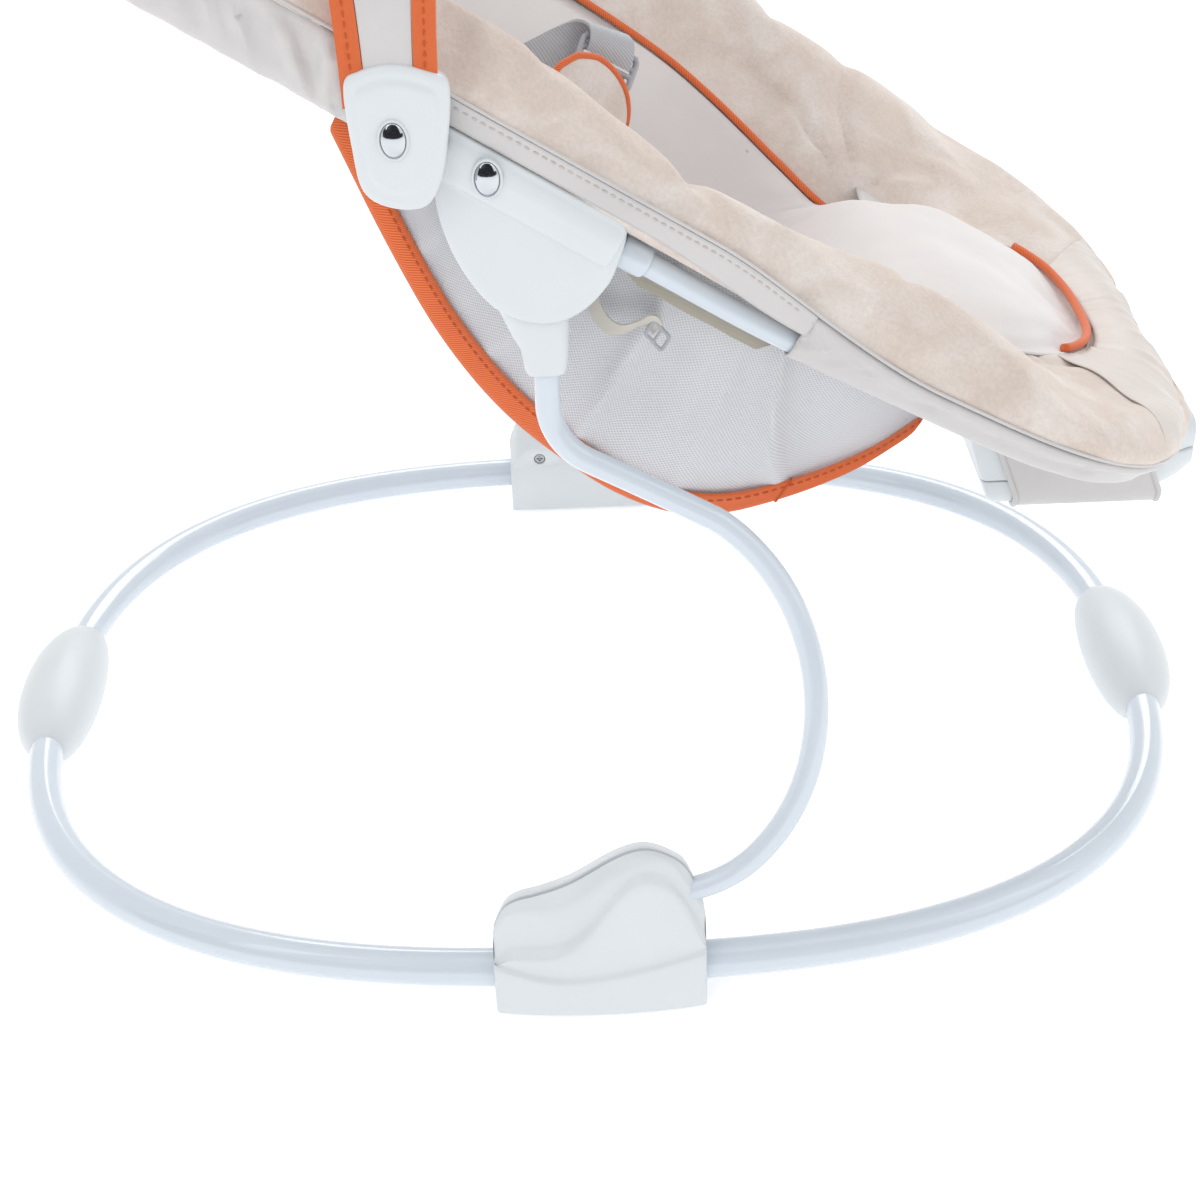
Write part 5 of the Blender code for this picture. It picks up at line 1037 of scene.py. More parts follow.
seam_points = np.array([tuple(p) for p in inner_seam_route + outer_seam_route])
under_points = np.array([tuple(point) for ring in rings for point in ring[28:36]])


def near_points(points, reach):
    """Tells which places lie within reach of any of the points."""
    tree = KDTree(len(points))
    for number, point in enumerate(points):
        tree.insert(point, number)
    tree.balance()
    return lambda co: np.array([tree.find(point)[2] < reach for point in co])


inflate(bolster, near_points(np.concatenate([seam_points, under_points]), 1.2 * MM), pressure=1.2, cap=6 * MM,
        spare=0.03)
refine(bolster)


def push(obj, amount):
    """Moves each point along its normal by what amount gives for its place."""
    co = places(obj)
    normals = np.array([tuple(vertex.normal) for vertex in obj.data.vertices])
    move_to(obj, co + normals * np.array([amount(Vector(point)) for point in co])[:, None])


def along_frame(place):
    """How far along the frame a place lies."""
    return (place.x - HUB_X) * math.cos(BACK_SLOPE) - (place.z - HUB_Z) * math.sin(BACK_SLOPE)


def above_frame(place):
    """How high above the frame a place lies."""
    return (place.x - HUB_X) * math.sin(BACK_SLOPE) + (place.z - HUB_Z) * math.cos(BACK_SLOPE)


def roll_folds(place):
    """Creases that fan out over the roll from where the pad is drawn in, and a lazy unevenness all over."""
    depth = 1.1 * MM * ripple(place, 55 * MM, 51) + 0.5 * MM * ripple(place, 18 * MM, 52)
    centre = seat_point(196 * MM, math.copysign(96 * MM, place.y), -4 * MM)
    away = place - centre
    reach = Vector((away.x, away.y)).length
    if reach < 110 * MM:
        angle = math.atan2(away.x, abs(place.y) - 96 * MM)
        wander = 0.35 * ripple(place, 40 * MM, 53)
        crease = math.exp(-((math.sin(3.5 * (angle + wander))) / 0.34) ** 2)
        depth -= 3.4 * MM * crease * ease(reach, 4 * MM, 22 * MM) * (1 - ease(reach, 45 * MM, 110 * MM))
    return depth


def near_side_dip(place):
    """How far the near roll is pressed down beside the lap."""
    s = along_frame(place)
    sunk = ease(s, -40 * MM, 45 * MM) * (1 - ease(s, 95 * MM, 180 * MM))
    return 8 * MM * sunk * ease(above_frame(place), 2 * MM, 24 * MM) * ease(-place.y, 0, 60 * MM)


push(bolster, roll_folds)
down = seat_point(0, 0, 0) - seat_point(0, 0, 1)
move_to(bolster, np.array([tuple(Vector(point) + down * near_side_dip(Vector(point))) for point in places(bolster)]))
done(bolster, PLUSH, "seat", "side_bolster")

# Orange piping along the inner seam, which sinks into the plush beside the pad, and the roll's outer cord

piping_line = even([p + Vector((0, 0, 1.0 * MM)) for p in inner_seam_route], 420, closed=True)


def runs(line, wanted):
    """Unbroken stretches of a closed line whose points are wanted."""
    flags = [wanted(point) for point in line]
    start = next(i for i in range(len(line)) if flags[i] and not flags[i - 1])
    found, run = [], []
    for step in range(len(line) + 1):
        index = (start + step) % len(line)
        if flags[index] and step < len(line):
            run.append(line[index])
        elif run:
            found.append(run)
            run = []
    return found


BACK_PIPING_END = 208 * MM
FOOT_PIPING_START = 283 * MM
for run in runs(piping_line, lambda p: along_frame(p) < BACK_PIPING_END):
    done(bar("back_piping", run, 1.9 * MM, 10), ORANGE, "seat")
for run in runs(piping_line, lambda p: along_frame(p) > FOOT_PIPING_START):
    raised = [point + Vector((-1.2 * MM, 0, 1.6 * MM)) for point in run]
    done(bar("foot_piping", raised, 2.3 * MM, 10), ORANGE, "seat")
for label, run in zip(("near", "far"), runs(piping_line, lambda p: 214 * MM <= along_frame(p) <= 284 * MM)):
    lowered = [point - Vector((0, 0, 1.4 * MM)) for point in run]
    done(bar(label + "_inner_seam_cord", lowered, 1.1 * MM, 8), TRICOT, "seat")
outer_line = even(outer_seam_route, 420, closed=True)
done(bar("outer_seam_cord", outer_line + [outer_line[0]], 0.8 * MM, 8), SATIN, "seat")

# Satin turned up over the roll at the foot end, drawn into upright gathers

CAP_MIDDLE = 115            # in steps along the roll's rims, as are its two reaches
CAP_NEAR_REACH, CAP_FAR_REACH = 25, 14
near_turn = 1 if outer_rim[120][1] < 0 else -1
rings = []
for index in range(151):
    turn = index / 75 - 1
    place = CAP_MIDDLE + (CAP_NEAR_REACH if turn * near_turn > 0 else CAP_FAR_REACH) * turn
    low, part = int(place), place - int(place)
    (s0, y0), (s1, y1) = ([a + (b - a) * part for a, b in zip(line[low], line[low + 1])]
                          for line in (outer_rim, inner_rim))
    y1 *= piping_taper(s1)
    ring = []
    for step in range(25):
        share = -0.015 + 0.99 * step / 24
        height = over_roll(s0, seam_height(s0), piping_height(s1), share)
        ring.append(seat_point(s0 + (s1 - s0) * share, y0 + (y1 - y0) * share, height + 1 * MM))
    rings.append(ring)
foot_cap = loft("foot_roll_cap", rings, around=False, size=(0.2, 0.07))
modify(foot_cap, "SHRINKWRAP", target=bolster, wrap_method="NEAREST_SURFACEPOINT", wrap_mode="ABOVE_SURFACE",
       offset=0.5 * MM)
modify(foot_cap, "SMOOTH", factor=0.5, iterations=6)


def cap_gathers(place):
    """Upright gathers, deepest along the outer seam."""
    centre = seat_point(200 * MM, 0, 0)
    around = 0.1 * math.atan2(place.y, place.x - centre.x)
    low = 1 - ease(place.z, 190 * MM, 235 * MM)
    fold = ripple((around, place.z * 0.12, 0), 7 * MM, 71) + 0.5 * ripple((around, place.z * 0.2, 0), 3.4 * MM, 72)
    return 3.6 * MM * max(fold, -0.05) * (0.35 + 0.65 * low)


push(foot_cap, cap_gathers)
thicken(foot_cap, 0.7 * MM)
done(foot_cap, BRUSHED_SATIN, "seat")

# Centre pad, dished between its edges and puffed up at the foot

rings = []
for index in range(111):
    angle = math.pi * (index + 0.5) / 111
    s = (INNER_FOOT + INNER_HEAD) / 2 - (INNER_FOOT - INNER_HEAD + 4 * MM) / 2 * math.cos(angle)
    edge_height = piping_height(s) - 1 * MM + 1.5 * MM * ease(s, 250 * MM, 290 * MM)
    middle = pad_floor(s)
    puff = 10 * MM * math.sin(math.pi * min(max((s - 180 * MM) / (125 * MM), 0), 1)) ** 1.2
    half = max(inner_half_width(s) - 1.2 * MM + puff * 0.12, 0.6 * MM)
    upper, lower = [], []
    for step in range(45):
        across = math.sin(math.pi * (step / 44 - 0.5))
        dish = middle + (edge_height - middle) * abs(across) ** 5
        upper.append(seat_point(s, half * across, dish + puff * (1 - abs(across) ** 3) - 0.6 * MM))
        lower.append(seat_point(s, half * across, dish - 8.4 * MM))
    rings.append(upper + lower[-2:0:-1])
pad = loft("centre_pad", rings, size=(0.62, 0.5))
edge_points = np.array([tuple(p) for ring in rings for p in (ring[0], ring[44])]
                       + [tuple(p) for p in rings[0] + rings[-1]])
inflate(pad, near_points(edge_points, 7.0 * MM), pressure=0.5, cap=3 * MM, spare=0.01)


def pad_folds(place):
    """Soft waves in the pad, which die out towards its piping."""
    s = along_frame(place)
    inside = 1 - ease(abs(place.y), inner_half_width(s) - 26 * MM, inner_half_width(s) - 6 * MM)
    inside *= ease(s, INNER_HEAD, INNER_HEAD + 25 * MM) * (1 - ease(s, INNER_FOOT - 25 * MM, INNER_FOOT))
    return inside * MM * (3.6 * ripple((s, place.y * 0.7, 0), 42 * MM, 56) + 1.2 * ripple(place, 17 * MM, 57))


push(pad, pad_folds)
done(pad, TRICOT, "seat", "seat_pad")

# Plush pad between the child's legs, with piping round its edge

foot_point, head_point = Vector((72.3, -77.1)) * MM, Vector((21, 18)) * MM
tongue_length = (head_point - foot_point).length
along = (head_point - foot_point).normalized()
square = Vector((-along.y, along.x))


def tongue_place(share, across, out):
    """World point on the tongue, which turns on its own length towards its tip and flops back a little."""
    turn = math.radians(50) * ease(share, 0.1, 0.8)
    place = foot_point + along * tongue_length * share * (1 - 0.07 * share) - Vector((8 * MM * share ** 2, 0))
    place += square * (out * math.cos(turn) - across * math.sin(turn))
    return seat_point(place.x, across * math.cos(turn) + out * math.sin(turn), place.y)


rings = []
tongue_edges = {-1: [], 1: []}
for index in range(41):
    share = index / 40
    width = (49 - 28 * share) * MM * math.sqrt(max(1 - max((share - 0.74) / 0.26, 0) ** 2.4, 0.0004))
    puff = 5 * MM * (0.35 + 0.65 * math.sin(math.pi * (0.08 + 0.84 * share))) * (width / (49 * MM)) ** 0.5
    rings.append([tongue_place(share, width * math.cos(angle), puff * signed_power(math.sin(angle), 0.8))
                  for angle in (2 * math.pi * turn / 36 for turn in range(36))])
    for sign, edge in tongue_edges.items():
        edge.append(tongue_place(share, sign * (width + 0.8 * MM), 0))
tongue = loft("plush_tongue", rings)
done(tongue, PLUSH, "seat", "crotch_pad")
piping_line = even(tongue_edges[-1] + tongue_edges[1][::-1], 120)
done(bar("tongue_piping", piping_line, 1.7 * MM, 10), ORANGE, "seat")

# Satin round the two ends of the frame

def sleeve(name, plan, radius, node, amount, seed):
    """Satin casing round a frame tube, drawn up outside to the roll's seam, with gathers."""
    outer = radius + 1.5 * MM
    rings = []
    reach = 0.0
    length = sum(math.dist(a, b) for a, b in zip(plan, plan[1:]))
    for index, (s, y) in enumerate(plan):
        before, after = plan[max(index - 1, 0)], plan[min(index + 1, len(plan) - 1)]
        ahead = Vector((after[0] - before[0], after[1] - before[1])).normalized()
        if index:
            reach += math.dist(plan[index], plan[index - 1])
        top = seam_height(s) - 0.8 * MM
        path = [(OVERHANG - 0.6 * MM, top), (OVERHANG + 0.6 * MM, top - 3 * MM)]
        for share in (step / 8 for step in range(1, 8)):
            path.append((OVERHANG + 0.4 * MM + (outer - OVERHANG - 0.4 * MM) * ease(share, 0, 1),
                         top - 3 * MM + (0 - top + 3 * MM) * share))
        path += [(outer * math.cos(math.radians(a)), outer * math.sin(math.radians(a))) for a in range(0, -181, -15)]
        path += [(-outer * 0.94, outer * 0.4), (-outer * 0.7, outer * 0.8)]
        from_end = min(reach, length - reach)
        ring = []
        for step, (out, h) in enumerate(path):
            share = step / (len(path) - 1)
            gather = math.sin(math.pi * min(share * 2.2, 1)) if share < 0.46 else 0.25
            slant = from_end + 0.04 * share
            fold = 0.8 - 3.4 * abs(ripple((slant, share * 0.012, 0), 12 * MM, seed))
            fold += 0.5 * ripple((slant, share * 0.05, 0), 5 * MM, seed + 1)
            push_out = amount * gather * fold * (0.55 + 1.9 * math.exp(-from_end / (45 * MM)))
            out += min(max(push_out, -0.7 * MM), 3.2 * MM)
            ring.append(seat_point(s + ahead.y * out, y - ahead.x * out, h))
        rings.append(ring)
    obj = thicken(loft(name, rings, around=False, size=(reach, 0.06)), 0.9 * MM, 1)
    done(obj, SATIN, "seat", node)


HEAD_CASING_START = BAR_S - 14 * MM
FOOT_CASING_START = 123 * MM
sleeve("head_casing", frame_plan(HEAD_CASING_START, HEAD_CURVE, HEAD_TIP, 50, 160, 1), BACK_TUBE,
       node="frame_sleeve_back", amount=4.2 * MM, seed=1)
sleeve("foot_casing", frame_plan(FOOT_CASING_START, FOOT_CURVE, FOOT_TIP, 40, 160), SEAT_TUBE,
       node="frame_sleeve_foot", amount=1.3 * MM, seed=5)

# Satin trim between the roll and the hubs, with the stitching below the roll's seam

for label, side in SIDES:
    rings = []
    for index in range(120):
        s = (-78 + 202 * index / 119) * MM
        top = seam_height(s) - 0.8 * MM
        low = 14.2 * MM - 6.5 * MM * ease(s, 40 * MM, 130 * MM)
        ring = []
        for share in (step / 8 for step in range(9)):
            wave = 0.35 * MM * math.sin(math.pi * share) * ripple((s, share * 0.01, side), 11 * MM, 8)
            out = (11.5 - 1.3 * share ** 1.6) * MM + wave
            ring.append(seat_point(s, side * (HALF_WIDTH + out), top + (low - top) * share))
        rings.append(ring)
    trim = thicken(loft(label + "_side_trim", rings, around=False, size=(0.21, 0.012)), 0.8 * MM)
    done(trim, SATIN, "seat")

for label, side in SIDES:
    line = [seat_point(s * MM, side * (HALF_WIDTH + 11.9 * MM), seam_height(s * MM) - 3.4 * MM)
            for s in np.linspace(-62, 119, 90)]
    stitches(label + "_trim_stitches", line, THREAD, "seat", length=2.6, gap=1.3, radius=0.4)


def ribbon(name, route, across, thick, look):
    """Flat woven strap along a route, as wide as the vectors in across."""
    rings = []
    shares = [step / 6 - 0.5 for step in range(7)]
    for index, (point, wide) in enumerate(zip(route, across)):
        ahead = (route[min(index + 1, len(route) - 1)] - route[max(index - 1, 0)]).normalized()
        out = ahead.cross(wide).normalized() * thick / 2
        rings.append([point + wide * share + out for share in shares]
                     + [point + wide * share - out for share in reversed(shares)])
    return done(loft(name, rings, size=(length_of(route), 0.04)), look, "seat", angle=60)


# Khaki tape that hangs crumpled below each tube, and a short strap end with its keeper

for label, side in SIDES:
    route, across = [], []
    for index in range(70):
        s = (44 + 76 * index / 69) * MM
        wave = 1.2 * MM * ripple((s, 0, side), 9 * MM, 61)
        drop = 9.5 * MM * min(1, 0.35 + (s - 40 * MM) / (26 * MM)) * min(1, 0.2 + (121 * MM - s) / (9 * MM))
        route.append(seat_point(s, side * (185 * MM + wave), -3.4 * MM - drop / 2))
        across.append(seat_point(s, 0, drop) - seat_point(s, side * 2.2 * MM, 0))
    ribbon(label + "_khaki_tape", route, across, 0.9 * MM, KHAKI)

points = [(42, -24, 176), (46, -31, 177), (53, -36, 178), (60, -36.5, 180), (65, -31, 182), (68, -26, 182),
          (72, -25.5, 180), (76, -28, 178.5)]
route = even([seat_point(s * MM, -y * MM, h * MM) for s, h, y in points], 46)
across = [seat_point(0, -2 * MM, 7.5 * MM) - seat_point(0, 2.4 * MM, 0)] * len(route)
ribbon("strap_end", route, across, 0.8 * MM, ECRU)


def framed(name, half_length, half_width, corner, bars, voxel, radius, place):
    """Wire-like keeper or slider: a rounded frame and its cross bars, melted into one moulding."""
    line = rounded([(x * half_length, y * half_width) for x, y in ((-1, -1), (1, -1), (1, 1), (-1, 1))], corner)
    parts = [bar(name + "_frame", [place(*point, 0) for point in even(line, 60, closed=True)], radius, 10, along=True)]
    parts += [bar(name + "_bar", [place(*low, 0), place(*high, 0)], radius * 0.8, 10) for low, high in bars]
    return done(cast(name, parts, voxel, 2), GREY, "seat")


framed("strap_keeper", 5, 3.6, 1.2, [((0, -3.4), (0, 3.4))], voxel=0.35 * MM, radius=0.9 * MM,
       place=lambda x, y, out: seat_point((77 + x) * MM, -(180 + out) * MM, (-30 + y - 0.35 * x) * MM))

# Waist strap: grey webbing folded through a slider beside the tongue's tip

slider_centre = Vector((19, 25, 361)) * MM
slider_along = Vector((0.84, 0.12, -0.52)).normalized()
slider_rise = (Vector((0, 0.5, 0.86)) - slider_along * slider_along.dot(Vector((0, 0.5, 0.86)))).normalized()
slider_out = slider_along.cross(slider_rise)


def slider_place(x, y, out):
    return slider_centre + (slider_along * x + slider_rise * y + slider_out * out) * MM


framed("strap_slider", 15, 8.5, 2.6, [((-14, -1.6), (14, -1.6)), ((-14, 2.4), (14, 2.4))],
       voxel=0.45 * MM, radius=1.7 * MM, place=slider_place)
for name, points, lean in (
        ("waist_strap_upper", [(0, 0.4, 1.6), (-1, 6, 4.4), (-4, 13, 3.6), (-9, 16, -4), (-17, 9, -9), (-27, -4, -12),
                               (-38, -17, -17)], 0.5),
        ("waist_strap_lower", [(0, 0.4, -1.6), (1, -6, -4), (4, -14, -8), (10, -24, -16), (16, -36, -26)], 0.3)):
    route = even([slider_place(*point) for point in points], 44)
    across = [slider_along * 24 * MM + slider_rise * lean * 10 * MM * math.sin(0.08 * step) for step in range(44)]
    ribbon(name, route, across, 1.3 * MM, WEBBING)

# Satin panels under the head and foot ends

def end_panel(name, curve, tip, start, depth, node, seed):
    rings = []
    last = tip - math.copysign(4 * MM, tip)
    for index in range(41):
        s = start + (last - start) * math.sin(math.pi / 2 * index / 40)
        reach = max((s - curve) / (last - curve), 0)
        half = (HALF_WIDTH - 4 * MM) * max(1 - reach ** POWER, 0.02) ** (1 / POWER)
        ring = []
        for across in (step / 30 - 1 for step in range(61)):
            sag = 1.6 * MM * ripple((s * 0.5, half * across, 0), 22 * MM, seed) * (1 - across ** 6)
            ring.append(seat_point(s, half * across, -depth - 0.6 * MM - abs(sag)))
        rings.append(ring)
    length = abs(last - start)
    obj = thicken(loft(name, rings, around=False, size=(length, 0.38)), 0.9 * MM)
    done(obj, SATIN, "seat", node)
    return obj


end_panel("head_panel", HEAD_CURVE, HEAD_TIP, -86 * MM, 8 * MM, "back_panel", 11)
end_panel("foot_end_panel", FOOT_CURVE, FOOT_TIP, 201 * MM, 7 * MM, "foot_panel", 12)

# Mesh hammock with its orange edges

WALL = 178.5 * MM


def sling_top(s):
    return underside(s) - 1.2 * MM


def sling_floor(s):
    return table(((-84, -12), (-39, -46), (0, -74), (40, -95), (80, -107), (118, -112), (148, -104), (172, -80),
                  (190, -46), (198, -14)), s)


def sling_half(s):
    return table(((-84, 178), (-39, 176), (-4, 168), (37, 158), (80, 149), (125, 142), (150, 140), (172, 145),
                  (190, 159), (198, 174)), s)


def wall_creases(s, share):
    """Sharp drawn lines that rise from the binding and fade below the frame, with soft banks beside them."""
    depth = 0.0
    for low_s, high_s, deep in ((170, 118, 8.0), (79, 70, 6.0), (20, 44, 4.4), (128, 108, 2.6), (-30, -6, 3.4)):
        away = s / MM - (high_s + (low_s - high_s) * share)
        near = deep * MM * math.sin(math.pi * min(0.12 + share * 0.84, 1)) ** 0.6
        depth += near * (0.55 * math.exp(-((away - 13) / 11) ** 2) + 0.35 * math.exp(-((away + 12) / 10) ** 2)
                         - math.exp(-(away / 3.6) ** 2))
    return depth


rings = []
edge_lines = {-1: [], 1: []}
for index in range(121):
    s = (-84 + 282 * index / 120) * MM
    floor, half, top = sling_floor(s), sling_half(s), sling_top(s)
    path = []
    for share in (step / 25 for step in range(26)):
        bow_in = 5 * MM * math.sin(math.pi * share)
        fold = ripple((s, share * 0.012, 0), 13 * MM, 21) * 1.6 * MM * math.sin(math.pi * min(share * 1.15, 1)) ** 0.7
        fold += 1.2 * wall_creases(s, share)
        path.append((-WALL + (WALL - half) * share - bow_in * 0.2 + fold * 0.6, top + (floor - top) * share))
    for share in (step / 20 for step in range(1, 21)):
        sag = -3 * MM * math.sin(math.pi / 2 * share) + 1.2 * MM * ripple((s, share * 0.06, 0), 24 * MM, 22) * share
        path.append((-half * (1 - share), floor + sag))
    path += [(-y, h) for y, h in reversed(path[:-1])]
    rings.append([seat_point(s, y, h) for y, h in path])
    for side in (-1, 1):
        edge_lines[side].append((s, side * half, floor))
sling = thicken(loft("mesh_hammock", rings, around=False, size=(0.34, 0.56)), 1.0 * MM)
done(sling, MESH, "seat", "seat_sling")

BINDING_SECTION = ((0.2, -6.4), (1.8, -6.9), (3.6, -6.4), (4.4, -4), (4.5, 0), (4.4, 4), (3.8, 6.2), (2.2, 7.0),
                   (0.8, 6.4))
SEAM_RING = 108
for label, side in SIDES:
    rings = []
    line = []
    for s, y, h in edge_lines[side]:
        lean = (WALL - abs(y)) / (sling_top(s) - h)
        puff = 1 + 0.05 * ripple((s, 0, side), 10 * MM, 31)
        rings.append([seat_point(s, side * (abs(y) + (dy * puff + max(dh, 0) * lean) * MM), h + dh * MM)
                      for dy, dh in BINDING_SECTION])
        line.append(seat_point(s, side * (abs(y) + (4.7 + 3.2 * lean) * MM), h + 3.2 * MM))
    binding = refine(loft(label + "_hammock_binding", rings, size=(0.34, 0.045)))
    done(binding, ORANGE, "seat", label + "_sling_binding", angle=70)
    stitches(label + "_binding_stitches", even(line, 200), ORANGE_THREAD, "seat", gap=1.3)
    centre = sum(rings[SEAM_RING], Vector()) / len(BINDING_SECTION)
    seam = [point + (point - centre).normalized() * 0.3 * MM for point in rings[SEAM_RING][1:8]]
    done(bar(label + "_binding_seam", seam, 0.5 * MM, 8), ORANGE_THREAD, "seat")

# Vibration unit

UNIT_FLOOR = 148 * MM
UNIT_CORNER = 8 * MM
NOSE = 318 * MM


def unit_section(bottom, top, width, shrink):
    """Upright section with round corners. It leans from x = bottom at its floor to the place of its top."""
    low, high = UNIT_FLOOR + shrink, top.z - shrink
    lean = (top.x - bottom) / (top.z - UNIT_FLOOR)
    section = []
    for across, z, start in ((-1, low + UNIT_CORNER, 180), (1, low + UNIT_CORNER, 270), (1, high - UNIT_CORNER, 0),
                             (-1, high - UNIT_CORNER, 90)):
        for angle in (math.radians(start + 15 * step) for step in range(7)):
            height = z + UNIT_CORNER * math.sin(angle)
            section.append(Vector((bottom + lean * (height - UNIT_FLOOR),
                                   across * (width - shrink - UNIT_CORNER) + UNIT_CORNER * math.cos(angle), height)))
    return section


stations = []
for share in (index / 36 for index in range(37)):
    top = seat_point((224 + 145 * share) * MM, 0, -(5.2 + 0.9 + 2.4) * MM)
    narrowing = max(share - 0.4, 0) / 0.6
    stations.append(((206 + 104 * share) * MM, top, (58 - 24 * narrowing ** 2.4) * MM))
bottom, top, width = stations[0]
rings = [unit_section(bottom, top, width, 3 * MM),
         unit_section(bottom + 0.6 * MM, top + Vector((0.6 * MM, 0, 0)), width, 1 * MM)]
rings += [unit_section(*station, 0) for station in stations[1:]]
bottom, top, width = stations[-1]
nose = Vector((NOSE, 0, top.z - 3 * MM))
rings.append(unit_section(NOSE - 1.5 * MM, nose, width - 4 * MM, 2 * MM))
rings.append(unit_section(NOSE, nose, width - 8 * MM, 4 * MM))

# The two halves, parted a little at the seam line, with the switch's slot, the battery bay and the door's opening
for name, node, away, openings in (
        ("unit_upper", "unit_housing", ((0, -400, 0), (400, 400, 163.3)),
         (((306, -9.3, 164.1), (330, 9.3, 169.9)), ((273, -27.3, 160), (300, 27.3, 168)))),
        ("unit_lower", "unit_base", ((0, -400, 162.7), (400, 400, 400)),
         (((270.5, -27.3, 140), (302.3, 27.3, 152)), ((273, -27.3, 150), (300, 27.3, 166))))):
    half = loft(name, rings)
    cut(half, box("other_half", *[[value * MM for value in corner] for corner in away]))
    soften_edges(half, 0.6 * MM)
    for opening in openings:
        cut(half, box("opening", *[[value * MM for value in corner] for corner in opening]))
    done(half, PLASTIC, "seat", node, angle=35)

# Pocket that carries the unit

POCKET_SIDE = 59.2 * MM
POCKET_FLOOR = 146.8 * MM
POCKET_CORNER = 8 * MM
NOTCH_START = 265 * MM


def pocket_row(y, share, low, fold):
    row = []
    for along in (step / 24 for step in range(25)):
        point = Vector(((219 + 73 * along) * MM, y, low))
        if share is not None:
            point = point.lerp(seat_point((238 + 102 * along) * MM, y, -8.5 * MM), share)
            wave = 1.6 * MM * ripple((along * 0.11 + 0.3 * point.z, point.z * 0.3, 0), 11 * MM, 41) + 0.6 * MM
            point += Vector((0, math.copysign(abs(wave * fold), y), 0))
        row.append(point)
    return row


half_rows = [pocket_row(-POCKET_SIDE, 1 - share, POCKET_FLOOR + POCKET_CORNER, math.sin(math.pi * share))
             for share in (step / 14 for step in range(15))]
half_rows += [pocket_row(-POCKET_SIDE + POCKET_CORNER * (1 - math.cos(math.radians(a))), None,
                         POCKET_FLOOR + POCKET_CORNER * (1 - math.sin(math.radians(a))), 0)
              for a in (22.5, 45, 67.5, 90)]
half_rows += [pocket_row(y, None, POCKET_FLOOR, 0) for y in np.linspace(-POCKET_SIDE + POCKET_CORNER, 0, 9)[1:]]
rings = half_rows + [[Vector((p.x, -p.y, p.z)) for p in row] for row in reversed(half_rows[:-1])]
pocket = thicken(loft("unit_sling_pocket", rings, around=False, size=(0.25, 0.07)), 1.1 * MM)

# An open notch in the satin lets the battery door swing down
cut(pocket, box("door_notch", (NOTCH_START, -35 * MM, 140 * MM), (300 * MM, 35 * MM, 152 * MM)))
done(pocket, SATIN, "seat", "unit_pocket")
for name, edge in (("head", 0), ("foot", -1)):
    line = [row[edge] for row in rings]
    if name == "foot":
        line = [Vector((NOTCH_START, point.y, point.z)) if abs(point.y) < 33 * MM else point for point in line]
    done(bar(f"pocket_{name}_hem", even(line, 150), 1.5 * MM, 8), SATIN, "seat")

# The solids that stay as they are, with their materials

for look, names in ((WRAP, ("battery",)), (GREY, ("power_switch",)), (PLASTIC, ("battery_door",)),
                    (ZINC, ("door_screw", "vibration_motor", "eccentric_weight", "near_hub_pivot", "far_hub_pivot",
                            "near_bracket_pivot", "far_bracket_pivot"))):
    for name in names:
        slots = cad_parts[name].data.materials
        slots.clear()
        slots.append(look)

# Floor, light and camera

clear()
bpy.ops.mesh.primitive_plane_add(size=8, location=(0, 0, 0))
floor = bpy.context.object
floor.name = "studio_floor"
table_top = Finish("backlit_acrylic_table", Roughness=0.9, Specular_IOR_Level=0.1, Emission_Color=paint("#FFFFFF"),
                   Emission_Strength=0.36)
table_top.tint(table_top.noise(3, 1), ("#FAFAFA", "#FCFCFC"))
floor.data.materials.append(table_top.look)

world = bpy.data.worlds.new("studio")
bpy.context.scene.world = world
world.use_nodes = True
tree = world.node_tree
tree.nodes.clear()
rays = add(tree, "LightPath")
seen = add(tree, "Math", {0: rays.outputs["Is Camera Ray"], 1: rays.outputs["Is Glossy Ray"]}, operation="MAXIMUM")
seen = add(tree, "Math", {0: seen.outputs[0], 1: rays.outputs["Is Transmission Ray"]}, operation="MAXIMUM")
lighting = add(tree, "Background", {"Color": (1, 1, 1, 1), "Strength": 0.76})
backdrop = add(tree, "Background", {"Color": (1, 1, 1, 1), "Strength": 1.0})
chosen = add(tree, "MixShader", {0: seen.outputs[0], 1: lighting.outputs[0], 2: backdrop.outputs[0]})
add(tree, "OutputWorld", {"Surface": chosen.outputs[0]})


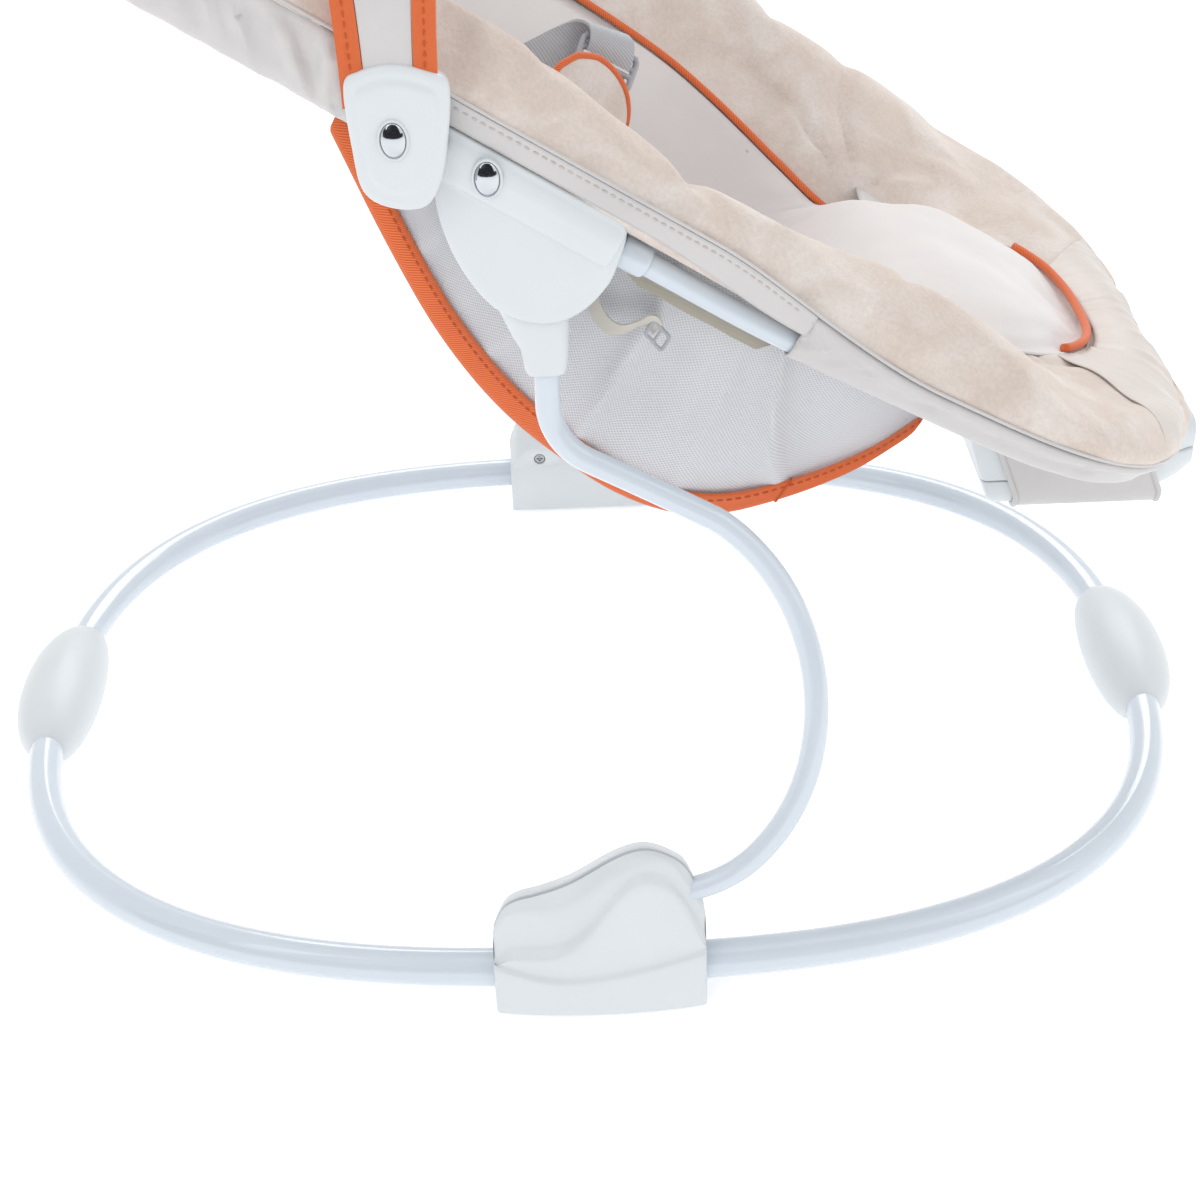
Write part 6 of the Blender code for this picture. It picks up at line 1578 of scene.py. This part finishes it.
def soft_box(name, location, target, size, power):
    clear()
    bpy.ops.object.light_add(type="AREA", location=location)
    lamp = bpy.context.object
    lamp.name = name
    lamp.data.shape = "RECTANGLE"
    lamp.data.size, lamp.data.size_y = size
    lamp.data.energy = power
    lamp.rotation_euler = (Vector(target) - Vector(location)).to_track_quat("-Z", "Y").to_euler()


# A dark flag that only the glossy pieces mirror
clear()
bpy.ops.mesh.primitive_plane_add(size=1, location=(0.0, -1.75, 1.15), rotation=(math.radians(62), 0, 0))
flag = bpy.context.object
flag.scale = (12, 2.5, 1)
flag.name = "dark_studio_flag"
flag.visible_camera = flag.visible_diffuse = flag.visible_shadow = False
flag.data.materials.append(plain_grain("black_duvetyne", ("#1B1D20", "#24262A"), 0.95, 400, 0.2))

soft_box("key_soft_box", (-1.1, -1.5, 1.9), (0, 0, 0.2), (1.4, 1.4), 11.5)
soft_box("fill_soft_box", (1.7, -0.9, 1.4), (0, 0, 0.2), (1.2, 1.6), 6)
soft_box("rim_soft_box", (0.3, 1.8, 1.7), (0, 0, 0.25), (1.8, 0.9), 20)

# Camera as the photo was taken: where it stands, how it is turned and its focal length in pixels of the picture
YAW, PITCH, ROLL = (math.radians(angle) for angle in (0.05, 31.08, -2.24))
STAND = (0.0047, -1.001, 0.6706)
PICTURE, FOCAL, SENSOR = 1200, 2108, 36
forward = Vector((math.sin(YAW) * math.cos(PITCH), math.cos(YAW) * math.cos(PITCH), -math.sin(PITCH)))
level = Vector((math.cos(YAW), -math.sin(YAW), 0))
rise = level.cross(forward)
right = level * math.cos(ROLL) + rise * math.sin(ROLL)
upward = rise * math.cos(ROLL) - level * math.sin(ROLL)
clear()
bpy.ops.object.camera_add()
camera = bpy.context.object
camera.name = "camera"
camera.data.sensor_width = SENSOR
camera.data.lens = SENSOR * FOCAL / PICTURE
camera.data.clip_start = 0.01
camera.matrix_world = Matrix([(right[axis], upward[axis], -forward[axis], STAND[axis]) for axis in range(3)]
                             + [(0, 0, 0, 1)])
bpy.context.scene.camera = camera
bpy.context.scene.view_settings.view_transform = "Standard"
